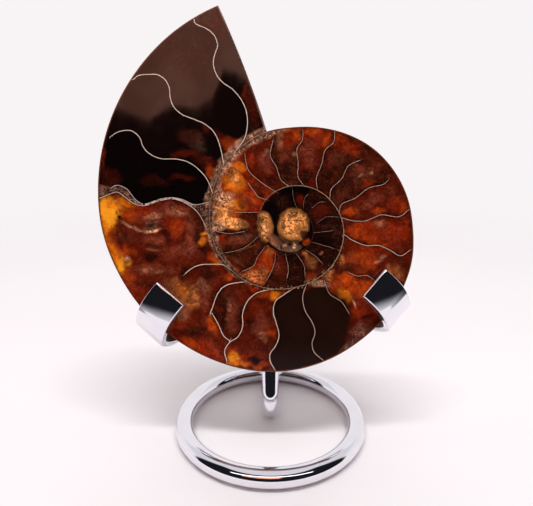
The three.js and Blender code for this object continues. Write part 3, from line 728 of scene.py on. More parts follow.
# Patches painted on within a chamber: the tone, how far across and up, how wide and high, which way the
# patch leans, and how strong it is
PATCHES = (
    ("umber", -10.0, 14.0, 3.2, 5.5, 5, 0.95), ("umber", -3.2, 12.5, 3.0, 6.0, 0, 0.85),
    ("umber", -14.6, 23.0, 2.6, 1.4, 10, 0.8), ("orange", -10.0, 22.3, 1.6, 0.8, 30, 0.7),
    ("mahogany", -5.5, 61.1, 3.0, 6.7, -25, 0.5), ("umber", -4.2, 57.1, 1.6, 2.4, 0, 0.6),
    ("night", -10.1, 70.2, 4.3, 1.6, -20, 0.9), ("rust", -6.6, 65.4, 0.5, 3.5, -25, 0.3),
    ("brown", -13.9, 81.4, 4.3, 4.3, 0, 0.6), ("orange", -9.9, 53.3, 2.4, 1.9, -40, 0.45),
    ("rust", -12.0, 55.2, 2.4, 1.6, -40, 0.2), ("mahogany", -15.0, 57.9, 1.6, 1.6, 0, 0.4),
    ("umber", -19.5, 74.5, 8.1, 8.0, 0, 0.8), ("mauve", -18.8, 55.2, 3.4, 1.8, -20, 0.15),
    ("matrix", -16.7, 53.6, 1.9, 1.9, 0, 0.2), ("rust", -20.5, 51.4, 3.5, 1.0, 0, 0.2),
    ("mahogany", -15.6, 49.8, 3.3, 1.6, -20, 0.4), ("orange", -14.0, 47.1, 1.1, 2.2, 30, 0.4),
    ("mahogany", -38.0, 45.4, 2.9, 2.8, 0, 0.3), ("rust", -20.9, 45.7, 2.9, 0.8, 0, 0.15),
    ("brown", -27.6, 45.1, 3.8, 1.3, 0, 0.3), ("orange", -14.2, 46.7, 0.8, 1.9, 30, 0.3),
    ("orange", -38.5, 31.0, 2.6, 5.5, 8, 0.8), ("amber", -40.0, 35.0, 1.8, 6.0, 0, 0.9),
    ("amber", -37.3, 26.0, 1.6, 4.5, 12, 0.8), ("orange", -27.0, 13.5, 1.8, 5.5, 42, 0.5),
    ("rust", -39.6, 52.5, 0.5, 5.4, 0, 0.4), ("rust", -31.4, 38.8, 4.4, 1.6, -30, 0.9),
    ("honey", -38.2, 37.5, 3.0, 4.3, 0, 1.0), ("amber", -36.2, 40.0, 3.5, 1.9, 0, 0.7),
    ("orange", -33.3, 37.2, 2.9, 1.6, -20, 0.6), ("sand", -27.0, 36.9, 3.5, 0.9, 18, 0.7),
    ("cream", -22.7, 37.5, 1.9, 0.8, -10, 0.6), ("mauve", -22.5, 38.1, 5.7, 1.6, 0, 0.7),
    ("matrix", -27.9, 34.3, 3.0, 1.2, 12, 0.85), ("cream", -32.4, 34.0, 3.2, 0.3, -25, 0.7),
    ("cream", -27.8, 33.2, 2.4, 0.35, 8, 0.9), ("cream", -21.6, 37.4, 1.0, 0.35, -10, 0.8),
    ("night", -28.3, 34.5, 1.7, 0.5, 10, 0.8), ("night", -24.6, 31.9, 1.1, 2.4, 0, 0.6),
    ("orange", -22.0, 34.2, 2.2, 1.7, 0, 0.85), ("rust", -22.5, 35.0, 3.8, 2.5, 0, 0.7),
    ("brown", -17.8, 34.3, 1.9, 4.8, 10, 0.85), ("umber", -16.2, 30.5, 1.6, 4.5, 10, 0.85),
    ("mauve", -19.6, 34.5, 1.4, 3.0, 10, 0.75), ("mauve", -19.9, 29.6, 1.6, 2.4, -30, 0.7),
    ("sand", -21.5, 37.6, 2.0, 0.5, -15, 0.6), ("amber", -15.6, 32.7, 1.1, 0.6, 20, 0.8),
    ("amber", -15.9, 30.8, 1.0, 1.0, 0, 0.8), ("orange", -13.4, 26.7, 1.9, 1.3, -30, 1.0),
    ("amber", -12.4, 25.7, 1.0, 0.6, -20, 0.8), ("mauve", -28.0, 31.1, 2.9, 1.3, 0, 0.7),
    ("brown", -28.0, 29.5, 2.5, 0.7, 0, 0.8), ("sand", -28.1, 28.7, 2.2, 0.2, 0, 0.6),
    ("night", -28.6, 27.0, 2.5, 1.1, 0, 0.8), ("brown", -35.3, 31.8, 3.8, 1.6, -5, 0.7),
    ("amber", -39.4, 32.7, 1.3, 1.9, 0, 0.7), ("orange", -35.0, 28.6, 2.5, 1.6, 0, 0.7),
    ("honey", -35.5, 24.9, 1.9, 2.2, -30, 0.95), ("amber", -36.6, 27.3, 1.9, 1.9, 0, 0.6),
    ("cream", -34.0, 26.7, 0.7, 0.6, 0, 0.7), ("orange", -33.5, 21.9, 2.2, 1.9, -40, 0.6),
    ("mauve", -27.7, 24.1, 5.1, 1.3, 0, 0.6), ("mauve", -20.7, 28.9, 3.8, 1.9, 20, 0.6),
    ("sand", -29.6, 23.8, 1.6, 0.5, 0, 0.5), ("sand", -26.4, 23.3, 1.6, 0.4, 0, 0.5),
    ("umber", -30.6, 20.6, 1.9, 1.3, 0, 0.5), ("umber", -21.0, 23.2, 1.3, 1.6, 0, 0.7),
    ("tan", -22.3, 19.3, 2.9, 2.9, -40, 0.5), ("amber", -20.7, 19.0, 1.6, 1.9, 0, 0.5),
    ("rust", -34.1, 17.7, 2.9, 3.5, -50, 0.8), ("black", -35.7, 36.4, 0.6, 0.6, 0, 1.0),
    ("black", -36.6, 37.4, 0.3, 0.5, 0, 0.9), ("honey", -39.6, 40.3, 1.3, 1.6, 0, 0.7),
    ("sand", -15.9, 19.7, 1.6, 1.9, 20, 0.6), ("mauve", -16.6, 17.4, 2.6, 2.9, 20, 0.6),
    ("tan", -19.4, 17.1, 2.2, 3.5, 0, 0.6), ("sand", -21.1, 12.9, 1.6, 1.3, 0, 0.5),
    ("rust", -22.0, 11.0, 2.6, 1.9, 0, 0.8), ("orange", -13.9, 10.7, 1.0, 2.9, 25, 1.0),
    ("umber", -17.6, 9.4, 3.2, 1.6, 0, 0.7), ("rust", -16.0, 5.2, 5.8, 1.9, -20, 0.8),
    ("orange", -19.5, 6.5, 1.9, 1.3, -20, 0.5), ("rust", -12.8, 3.3, 2.6, 1.6, -20, 0.7),
    ("brown", -15.0, 12.9, 1.3, 1.9, 0, 0.6), ("mauve", -9.4, 14.9, 1.4, 3.5, 5, 0.7),
    ("sand", -9.9, 15.5, 0.6, 1.6, 15, 0.45), ("brown", -11.1, 17.4, 2.9, 1.9, 30, 0.5),
    ("rust", -3.8, 19.7, 1.9, 1.0, -20, 0.8), ("mauve", -9.6, 10.4, 1.0, 1.6, 10, 0.5),
    ("amber", 0.9, 17.7, 1.5, 0.9, 10, 0.8), ("orange", -1.8, 18.3, 2.1, 0.9, 20, 0.6),
    ("rust", -3.0, 14.0, 2.0, 3.0, 0, 0.35), ("sand", -1.6, 8.5, 1.1, 1.2, -20, 0.6),
    ("mauve", -2.4, 10.1, 2.1, 2.8, 0, 0.6), ("orange", 0.3, 8.8, 1.2, 1.2, 40, 0.5),
    ("rust", -7.9, 3.0, 4.9, 2.1, 0, 0.9), ("amber", -8.4, 1.4, 3.2, 0.8, 0, 0.7),
    ("honey", -9.1, 2.7, 1.5, 1.1, 0, 0.6), ("orange", -2.4, 1.2, 2.2, 0.9, 0, 0.6),
    ("mahogany", -3.6, 4.8, 3.7, 1.5, 0, 0.8), ("black", -3.6, 2.3, 1.9, 0.9, -5, 0.95),
    ("black", -5.2, 2.7, 0.9, 0.6, 0, 0.8), ("umber", -1.2, 0.2, 1.2, 0.7, 0, 0.8),
    ("umber", -0.6, 6.7, 2.1, 1.8, 30, 0.6), ("orange", 17.6, 21.0, 4.6, 2.4, 0, 0.9),
    ("brown", 17.0, 23.9, 2.7, 0.9, 0, 0.9), ("amber", 17.4, 18.0, 2.1, 1.2, -20, 0.9),
    ("orange", 21.9, 18.9, 3.0, 1.8, 0, 0.9), ("honey", 16.1, 16.8, 1.2, 0.4, 40, 0.8),
    ("tan", 13.7, 22.9, 0.9, 1.5, -10, 0.8), ("tan", 17.0, 26.5, 0.9, 1.5, 0, 0.7),
    ("rust", 22.2, 14.6, 3.3, 2.7, 0, 0.8), ("umber", 23.2, 12.8, 1.8, 0.6, 20, 0.8),
    ("matrix", 21.7, 8.5, 3.0, 2.5, 35, 0.75), ("umber", 24.4, 10.4, 1.8, 1.8, 40, 0.5),
    ("cream", 19.9, 15.9, 0.2, 1.2, 25, 0.8), ("black", 26.2, 11.6, 0.9, 1.2, 30, 0.7),
    ("orange", 21.6, 26.0, 4.3, 3.0, 0, 0.6), ("sand", 25.9, 26.5, 2.0, 0.5, 25, 0.6),
    ("tan", 29.9, 23.0, 2.3, 2.0, -40, 0.6), ("rust", 24.9, 29.3, 6.7, 1.7, -10, 0.7),
    ("brown", 18.2, 24.6, 3.7, 1.2, 0, 0.9), ("orange", 20.6, 20.3, 5.3, 1.7, 0, 0.8),
    ("brown", 32.2, 25.0, 1.3, 4.0, 0, 0.5), ("rust", 23.2, 33.3, 5.0, 2.3, -10, 0.8),
    ("orange", 20.2, 33.6, 2.0, 2.0, 0, 0.5), ("sand", 26.2, 35.0, 1.5, 1.0, 0, 0.5),
    ("rust", 29.8, 33.3, 4.0, 3.0, 0, 0.7), ("orange", 24.9, 30.6, 4.0, 1.0, -20, 0.5),
    ("brown", 33.2, 34.3, 1.0, 4.0, 0, 0.6), ("orange", 18.8, 37.6, 2.0, 0.8, 10, 0.8),
    ("mauve", 24.1, 40.3, 4.3, 1.3, 20, 0.6), ("orange", 25.5, 38.0, 2.0, 0.7, 0, 0.7),
    ("rust", 29.8, 39.6, 2.0, 1.7, 0, 0.7), ("orange", 31.5, 39.0, 0.8, 1.7, 0, 0.5),
    ("brown", 29.1, 42.6, 2.7, 1.3, 0, 0.6), ("mauve", 22.4, 46.6, 4.0, 1.7, 25, 0.6),
    ("cream", 21.1, 46.1, 1.0, 0.3, 30, 0.7), ("cream", 23.6, 46.9, 0.8, 0.3, 0, 0.7),
    ("rust", 23.1, 44.6, 2.0, 1.0, 20, 0.7), ("brown", 26.4, 45.6, 2.3, 2.0, 0, 0.6),
    ("umber", 18.1, 44.3, 3.0, 2.0, 40, 0.6), ("mahogany", 25.4, 49.5, 3.3, 1.7, -30, 0.5),
    ("rust", 17.4, 53.5, 4.0, 2.0, -20, 0.8), ("mahogany", 13.8, 49.5, 2.0, 2.6, -20, 0.6),
    ("umber", 13.1, 45.6, 1.7, 2.6, -20, 0.8), ("orange", 15.1, 55.8, 2.0, 1.3, -20, 0.5),
    ("mauve", 14.8, 49.9, 1.7, 1.6, 0, 0.4), ("rust", 11.5, 55.2, 3.0, 2.0, 0, 0.9),
    ("orange", 9.8, 56.6, 2.3, 1.0, 0, 0.7), ("mauve", 8.8, 51.5, 1.7, 3.3, 0, 0.6),
    ("umber", 8.8, 46.2, 1.5, 2.3, 0, 0.9), ("orange", 13.1, 54.8, 1.0, 2.6, -20, 0.5),
    ("rust", 4.5, 54.5, 3.0, 2.0, 0, 0.8), ("sand", 2.2, 54.8, 1.3, 2.0, 0, 0.5),
    ("orange", 6.5, 55.5, 1.0, 1.6, 0, 0.6), ("mauve", 2.5, 50.9, 1.3, 2.0, -20, 0.4),
    ("umber", 3.8, 47.6, 1.7, 2.6, 0, 0.85), ("sand", 5.8, 51.5, 0.7, 0.7, 0, 0.4),
    ("orange", 4.5, 57.1, 3.0, 0.7, 5, 0.8), ("mahogany", -2.5, 50.2, 3.0, 3.6, 0, 0.8),
    ("rust", -4.4, 50.2, 1.3, 2.0, 0, 0.6), ("mauve", -0.8, 49.5, 1.7, 2.0, 0, 0.5),
    ("umber", -0.1, 45.6, 2.3, 1.3, -40, 0.7), ("sand", -1.1, 51.5, 0.4, 1.3, -30, 0.5),
    ("umber", -6.4, 49.5, 0.9, 1.0, 0, 0.8), ("amber", -8.6, 45.6, 3.0, 3.6, 0, 0.75),
    ("amber", -8.4, 39.0, 3.3, 2.0, 0, 0.8), ("tan", -11.8, 40.3, 2.0, 2.0, 0, 0.8),
    ("cream", -11.8, 41.3, 1.0, 1.7, 20, 0.7), ("cream", -10.4, 41.3, 2.0, 1.0, 0, 0.5),
    ("tan", -9.5, 35.0, 3.3, 1.7, -10, 0.8), ("cream", -12.5, 34.3, 1.0, 1.0, 0, 0.8),
    ("amber", -8.4, 44.6, 1.3, 0.7, 30, 0.8), ("orange", -4.8, 40.9, 2.0, 2.0, 0, 0.6),
    ("amber", -7.8, 48.6, 1.7, 1.3, 0, 0.6), ("brown", -2.5, 42.9, 2.0, 1.3, -40, 0.9),
    ("rust", -7.8, 40.9, 1.7, 0.8, 0, 0.5), ("mahogany", -5.5, 35.6, 2.3, 1.5, 0, 0.9),
    ("rust", -4.5, 39.3, 2.0, 1.0, 0, 0.6), ("brown", -13.1, 38.3, 0.5, 3.0, 0, 0.8),
    ("honey", -8.6, 38.8, 1.7, 0.7, -30, 0.5), ("mauve", -7.1, 31.3, 3.7, 1.3, 10, 0.7),
    ("umber", -4.5, 32.0, 2.0, 1.2, 10, 0.5), ("rust", -12.5, 31.0, 1.7, 1.7, -30, 0.7),
    ("matrix", -6.8, 32.0, 2.0, 0.8, 0, 0.4), ("brown", -5.8, 27.3, 3.3, 1.7, 20, 0.8),
    ("tan", -5.8, 29.0, 2.7, 0.3, 20, 0.3), ("orange", -9.1, 24.6, 2.0, 0.7, -20, 0.5),
    ("tan", -3.5, 22.6, 3.3, 2.0, 0, 0.7), ("orange", -0.8, 27.0, 1.7, 2.7, 0, 0.6),
    ("tan", -0.5, 29.0, 1.0, 1.0, 0, 0.5), ("mahogany", 1.9, 24.3, 1.7, 3.3, 0, 0.8),
    ("mauve", 1.5, 24.6, 1.0, 2.0, 0, 0.5), ("umber", 1.9, 21.3, 2.0, 1.3, 0, 0.6),
    ("umber", 5.9, 24.3, 2.0, 3.7, 0, 1.0), ("brown", 9.9, 24.3, 2.0, 2.7, -30, 0.8),
    ("tan", 9.5, 26.0, 1.3, 1.7, 0, 0.35), ("orange", 9.9, 22.3, 1.7, 1.0, 0, 0.5),
    ("tan", 8.5, 27.6, 1.3, 0.7, -30, 0.4), ("umber", 12.2, 27.6, 2.7, 2.0, -40, 0.9),
    ("sand", 11.9, 27.8, 0.4, 0.4, 0, 0.6), ("black", 12.5, 31.0, 2.7, 2.0, 0, 0.7),
    ("umber", 12.5, 34.3, 2.7, 2.3, 0, 0.9), ("mahogany", 11.8, 38.0, 2.7, 1.7, 20, 0.7),
    ("rust", 12.2, 36.0, 1.7, 0.4, 15, 0.4), ("umber", 9.2, 40.9, 3.0, 2.0, 0, 0.8),
    ("rust", 7.2, 40.3, 1.3, 1.7, 0, 0.35), ("umber", 1.9, 40.0, 3.0, 2.7, 0, 0.8),
    ("black", -0.1, 38.6, 1.7, 2.0, 0, 0.9),
)
# Crusts of small crystals that grow across the walls, so no septum cuts them off
CRUSTS = (
    ("slate", 13.6, 10.0, 5.0, 8.6, -16, 1.0), ("slate", 11.6, 15.6, 4.9, 4.2, -35, 1.0),
    ("gravel", 11.2, 20.8, 2.6, 0.8, -8, 0.9), ("gold", -10.8, 38.2, 2.0, 3.4, 0, 0.75),
    ("gold", -9.2, 35.0, 3.2, 1.3, -5, 0.8), ("cream", -12.0, 41.4, 1.1, 2.0, 15, 0.9),
    ("cream", -10.0, 40.6, 1.2, 0.7, 0, 0.6), ("cream", -11.8, 34.4, 1.1, 1.1, 0, 0.8),
    ("orange", -8.6, 37.6, 1.4, 1.2, 0, 0.7), ("gold", -8.5, 45.6, 1.0, 1.1, 0, 0.7),
    ("tan", -9.8, 48.0, 1.9, 1.3, -35, 0.7), ("brown", -6.0, 39.6, 1.6, 1.2, 20, 0.6),
    ("matrix", 18.4, 5.0, 1.2, 3.0, -40, 0.8), ("gold", -1.3, 34.2, 1.6, 3.2, 8, 1.0),
    ("cream", -1.6, 33.4, 0.7, 1.4, 0, 0.5), ("sand", 1.4, 30.8, 2.0, 1.2, -40, 0.9),
    ("gravel", 4.4, 29.4, 2.7, 1.1, 0, 0.95), ("night", 5.2, 33.8, 5.2, 5.2, 0, 0.75),
    ("gold", 5.5, 34.8, 3.2, 3.3, 0, 1.0), ("cream", 4.6, 35.6, 1.2, 1.0, 20, 0.3),
    ("orange", 6.4, 33.6, 1.0, 1.2, 0, 0.25), ("cream", 5.6, 29.5, 0.4, 0.5, 0, 0.8),
    ("cream", 3.3, 29.7, 0.5, 0.4, 20, 0.7), ("umber", 2.5, 29.3, 0.3, 0.6, 10, 0.9),
    ("umber", 4.5, 30.0, 0.4, 0.3, 0, 0.9), ("orange", 8.5, 30.6, 0.9, 0.9, 0, 0.6),
    ("umber", -0.6, 31.4, 0.3, 0.7, 40, 0.8), ("umber", 7.9, 32.2, 1.0, 1.2, 30, 0.95),
)


def ripple(spots, size, seed):
    """Smooth random waves, from -1 to 1, of about that size in millimetres."""
    generator = np.random.default_rng(seed)
    total = np.zeros(len(spots))
    for k in range(7):
        direction = generator.uniform(0, 2 * math.pi)
        wave = 2 * math.pi / (size * generator.uniform(0.6, 1.8))
        phase = generator.uniform(0, 2 * math.pi)
        total += np.sin(wave * (spots @ [math.cos(direction), math.sin(direction)]) + phase)
    return total / 4


def coil_place(spots):
    """Turn along the coil, and share of the way from inner to outer wall, for spots on the sawn face."""
    gap = np.asarray(spots, float) - (COIL_ACROSS, COIL_UP)
    radius = np.hypot(gap[:, 0], gap[:, 1])
    past_notch = (NOTCH_ANGLE - np.degrees(np.arctan2(gap[:, 1], gap[:, 0]))) % 360
    turn = np.full(len(gap), -720.0)
    share = np.zeros(len(gap))
    for start in (-720, -360, 0):
        here = start + past_notch
        inside = sawn_radius(here - 360) if start > -720 else np.full(len(gap), EYE_RADIUS)
        outside = rim(here) if start == 0 else sawn_radius(here)
        hit = (radius >= inside) & ((radius <= outside) | (start == 0))
        turn[hit] = here[hit]
        share[hit] = np.clip((radius - inside) / (outside - inside), 0, 1)[hit]
    return turn, share


# These septa, by their place in the list, stop short of a wall and part no chambers
PARTIAL_SEPTA = (5, 6, 7, 11, 20)
CURVE_STEPS = 40
septum_curves = []
for index, (half_width, pale, corners) in enumerate(SEPTA):
    if index not in PARTIAL_SEPTA:
        line = smooth_curve(corners, np.linspace(0, 1, CURVE_STEPS))[0]
        turns, shares = coil_place(line)
        middle_turn = turns[CURVE_STEPS // 2]
        turns = middle_turn + (turns - middle_turn + 180) % 360 - 180
        order = np.argsort(shares)
        septum_curves.append((shares[order], turns[order]))


def chamber_of(spots):
    """Number of the chamber that each spot lies in, counted from the mouth inward."""
    turn, share = coil_place(spots)
    number = np.zeros(len(turn), int)
    for shares, turns in septum_curves:
        number += turn < np.interp(share, shares, turns)
    return number


def paint(fill, grain, patches, chambers=None, stray=1.0):
    """Lays soft patches of tone over the fill, each kept inside its own chamber where chambers are given."""
    for tone, across, up, wide, high, lean, strength in patches:
        c, s = math.cos(math.radians(lean)), math.sin(math.radians(lean))
        gap = face_spots - (across, up) + wander * stray * min(1.0, 0.35 * min(wide, high) + 0.15)
        distance = np.hypot((gap[:, 0] * c + gap[:, 1] * s) / wide, (gap[:, 1] * c - gap[:, 0] * s) / high)
        share = np.clip((1.3 - distance) / (0.3 + 0.6 * stray), 0, 1)
        share = strength * share * share * (3 - 2 * share)
        if chambers is not None:
            share = share * (chambers == chamber_of([(across, up)])[0])
        fill += (linear(TONES[tone]) - fill) * share[:, None]
        grain += (GRAIN[tone] - grain) * share


wander = np.stack([ripple(face_spots, 6, 1) + 0.6 * ripple(face_spots, 1.8, 2),
                   ripple(face_spots, 6, 3) + 0.6 * ripple(face_spots, 1.8, 4)], 1)
chambers = chamber_of(face_spots)
fill = np.array([linear(TONES[tone]) for tone in CHAMBER_TONES])[chambers]
grain = np.array([GRAIN[tone] for tone in CHAMBER_TONES])[chambers]
paint(fill, grain, PATCHES, chambers)
paint(fill, grain, CRUSTS, stray=0.3)

# Rock sticks to the shell's own wall between the last two whorls, widest on the left
MATRIX_TURNS = (-128, -105, -60, -15, 0, 14)
MATRIX_WIDTHS = (0.3, 0.8, 1.3, 1.3, 1.3, 0.3)
MATRIX_EDGE = 0.35
MATRIX_STRENGTH = 0.9
band = np.interp(wall_turn, MATRIX_TURNS, MATRIX_WIDTHS, left=0, right=0)
band *= 1 + 0.3 * ripple(face_spots, 3, 5)
on_band = (wall_turn > MATRIX_TURNS[0]) * (wall_turn < MATRIX_TURNS[-1])
rock = np.clip((band - wall_gap) / MATRIX_EDGE + 0.5, 0, 1) * on_band * MATRIX_STRENGTH
fill += (linear(TONES["gravel"]) - fill) * rock[:, None]
grain += (1 - grain) * rock
give("chamber_fill", "FLOAT_COLOR", np.hstack([fill, np.ones((front_count, 1))]), 4)

# How pale the shell's wall is along the coil, and how much cream and dark specks pepper it.
# The edge of the eye has no wall.
EYE_EDGE = 0.25
wall_pale = np.interp(wall_turn, (-720, -430, -400, -330, -200, -150, -60, 0, 1, 360),
                      (0.12, 0.12, 0.3, 0.55, 0.6, 0.45, 0.35, 0.55, 0.28, 0.28))
wall_pale[np.abs(radius_at - EYE_RADIUS) < EYE_EDGE] = 0
pepper = np.interp(wall_turn, (-300, -230, -190, -110, -75), (0, 0.5, 1, 1, 0.1))
give("wall_look", "FLOAT_VECTOR", np.stack([wall_pale, pepper, grain], 1), 3)
paleness *= np.interp(radius_at, (5.5, 9, 12), (0.4, 0.8, 1.0))

# The polishing wheel left the upper end of the face very slightly rounded, in degrees of tilt across it
POLISH_TILT = ((-36.1, 1.41), (-29.1, 1.88), (-25.3, 1.14), (-23.1, 0.74), (-17.4, 0.78), (-13.9, 0.14),
               (-12.6, -0.6), (-11.2, -1.53), (-8.2, -1.39), (0.0, 0.0))
tilt = np.interp(face_spots[:, 0], *np.transpose(POLISH_TILT)) * np.clip((face_spots[:, 1] - 45) / 8, 0, 1)
mouth_gap = np.full(front_count, FAR_FROM_RIM)
mouth_gap[:strip] = np.radians(360 - turn_at) * radius_at[:strip]
give("face_look", "FLOAT_VECTOR", np.stack([paleness, np.radians(tilt), mouth_gap], 1), 3)


def polished_face():
    """Clear and cloudy calcite, pale septa and the shell's own line, all ground flush and polished."""
    stone = Finish("polished_calcite")
    septum = stone.parts_of("septum_line")
    shell = stone.parts_of("shell_wall")
    wall_look = stone.parts_of("wall_look")
    face_look = stone.parts_of("face_look")
    fill = stone.attribute("chamber_fill").outputs["Color"]
    grain = wall_look[2]

    # Crystals: bent so that they look grown, each a little lighter or darker than the next
    bend = stone.add("TexNoise", {"Vector": stone.place, "Scale": 0.5, "Detail": 3.0}).outputs["Color"]
    bent = stone.add("VectorMath", {0: bend, 1: (2.2, 2.2, 2.2), 2: stone.place},
                     operation="MULTIPLY_ADD").outputs[0]
    mottle = stone.clouds(0.42, 6, 0.62, 0.6)
    fine = stone.clouds(2.4, 5, 0.6, 0.4)
    big = stone.cell_shade(0.8, 0, bent)
    small = stone.cell_shade(2.6, 1, bent)
    crystal = stone.times(stone.math("MULTIPLY_ADD", big, 0.75, 0.6),
                          stone.math("MULTIPLY_ADD", small, 0.9, 0.55))
    crystal = stone.times(crystal, stone.between(mottle, 0.3, 0.7, 0.45, 1.5))
    light = stone.math("MULTIPLY_ADD", grain, stone.math("SUBTRACT", crystal, 1.0), 1.0)
    body = stone.scaled(fill, light)
    cloud = stone.times(stone.between(stone.clouds(0.25, 5, 0.65, 1.2), 0.52, 0.72), 0.4)
    body = stone.blend(stone.times(cloud, grain), body, colour("94604a"))

    # The calcite grew inward from every wall: clear and dark beside it, cloudy in the middle of a chamber
    inner = stone.math("MINIMUM", septum[1], shell[0])
    inner = stone.math("ADD", inner, stone.math("MULTIPLY_ADD", mottle, 1.6, -0.8))
    body = stone.scaled(body, stone.between(inner, 0.1, 0.8, 0.5, 1.08))
    uneven = stone.between(stone.clouds(0.3, 4, 0.6, 1.0), 0.4, 0.62)
    core = stone.times(stone.between(inner, 0.9, 2.0), uneven)
    core = stone.times(core, stone.between(grain, 0.2, 0.5, 0.0, 0.3))
    body = stone.blend(core, body, colour("8a4430"))

    # Veils: thin bent sheets of paler crystal, seen edge on
    veil = stone.math("ABSOLUTE", stone.math("SUBTRACT", stone.clouds(0.33, 5, 0.6, 1.4), 0.5))
    veil = stone.times(stone.between(veil, 0.035, 0.0), stone.between(fine, 0.42, 0.62))
    veil = stone.times(veil, stone.times(grain, 0.3))
    body = stone.blend(veil, body, colour("c88a60"))

    # Folds: thin dark seams between the crystals
    fold = stone.math("ABSOLUTE", stone.math("SUBTRACT", stone.clouds(0.21, 4, 0.55, 2.0), 0.48))
    fold = stone.times(stone.between(fold, 0.06, 0.0), stone.times(grain, 0.8))
    body = stone.blend(fold, body, colour("2a0e07"))

    # Rock and crusts are speckled, crystal by crystal
    rock = stone.between(grain, 0.72, 0.9)
    speckle = stone.cell_shade(3.4)
    speckle = stone.times(stone.math("SUBTRACT", speckle, 0.5), rock)
    body = stone.scaled(body, stone.math("MULTIPLY_ADD", speckle, 1.5, 1.1))

    # Healed cracks, thin and pale in the grainy parts, and dark veins
    crack = stone.between(stone.cells(0.45, "DISTANCE_TO_EDGE", where=bent), 0.035, 0.0)
    crack = stone.times(crack, stone.between(mottle, 0.5, 0.66))
    crack = stone.times(crack, stone.times(grain, 0.3))
    body = stone.blend(crack, body, colour("d8a070"))
    dark_vein = stone.between(stone.cells(0.7, "DISTANCE_TO_EDGE", where=bent), 0.05, 0.0)
    vein_share = stone.times(grain, stone.between(mottle, 0.55, 0.4))
    dark_vein = stone.times(dark_vein, vein_share)
    body = stone.blend(stone.times(dark_vein, 0.35), body, colour("1a0a06"))

    # Painted glints: pale specks put in the base colour where crystal facets would catch the light
    painted_glint = stone.between(stone.cells(2.1), 0.16, 0.08)
    chosen = stone.between(stone.clouds(1.3, 2, 0.5), 0.58, 0.62)
    painted_glint = stone.times(painted_glint, stone.times(chosen, stone.between(grain, 0.3, 0.9)))
    body = stone.blend(stone.times(painted_glint, 0.75), body, colour("f0dcc4"))

    # Iron stains all of it towards red
    body = stone.add("VectorMath", {0: body, 1: (1.12, 0.82, 0.7)}, operation="MULTIPLY").outputs[0]

    # The pale septa, broken up a little
    wobble = stone.math("MULTIPLY_ADD", stone.clouds(0.9, 3, 0.5), 0.2, -0.1)
    across_line = stone.math("ABSOLUTE", stone.math("ADD", septum[0], wobble))
    frayed = stone.math("SUBTRACT", fine, 0.5)
    width = stone.math("MULTIPLY_ADD", frayed, 0.1, stone.times(septum[2], 0.6))
    line = stone.between(stone.math("DIVIDE", across_line, width), 1.15, 0.6)
    line = stone.times(line, stone.between(septum[1], 0.7, 0.6))
    line = stone.times(line, stone.between(mottle, 0.2, 0.45, 0.55, 1.0))
    line_tone = stone.blend(face_look[0], colour("80401f"), colour("ffe8d6"))
    body = stone.blend(line, body, line_tone)

    # The shell's own wall: a thin pale line, peppered where rock and crystals touch it
    wall_width = stone.math("MULTIPLY_ADD", fine, 0.22, -0.02)
    wall = stone.between(stone.math("DIVIDE", shell[0], wall_width), 1.2, 0.7)
    specks = stone.between(stone.cells(1.9), 0.3, 0.22)
    near_wall = stone.between(shell[0], 0.9, 0.2)
    pepper = stone.times(stone.times(specks, near_wall), wall_look[1])
    dark_band = stone.times(stone.between(shell[0], 0.75, 0.35), wall_look[1])
    body = stone.blend(stone.times(dark_band, 0.6), body, colour("2a140c"))
    body = stone.blend(stone.times(pepper, 0.8), body, colour("d9b48c"))
    wall_tone = stone.blend(wall_look[0], colour("3a160b"), colour("e8b088"))
    wall = stone.times(wall, stone.between(wall_look[0], 0.05, 0.25))
    body = stone.blend(wall, body, wall_tone)

    # The rim's own brown line, and the pale edge of the broken mouth
    body = stone.blend(stone.between(shell[1], 0.34, 0.2), body, colour("7a3a22"))
    mouth_edge = stone.times(stone.between(face_look[2], 0.5, 0.2), 0.7)
    body = stone.blend(mouth_edge, body, colour("c09a90"))

    stone.set(base_color=body, roughness=stone.between(mottle, 0.3, 0.7, 0.05, 0.1), ior=1.5)
    stone.set(coat_weight=0.35, coat_roughness=0.03)

    # The polish follows the face's slight rounding
    upright = stone.add("NewGeometry").outputs["Normal"]
    lean = stone.scaled(tuple(face_up), face_look[1])
    leaned = stone.add("VectorMath", {0: upright, 1: lean}, operation="ADD").outputs[0]
    waves = stone.add("Bump", {"Height": mottle, "Strength": 0.03, "Distance": 0.1 * MM, "Normal": leaned})
    stone.set(normal=waves.outputs[0], coat_normal=waves.outputs[0])
    return stone.material


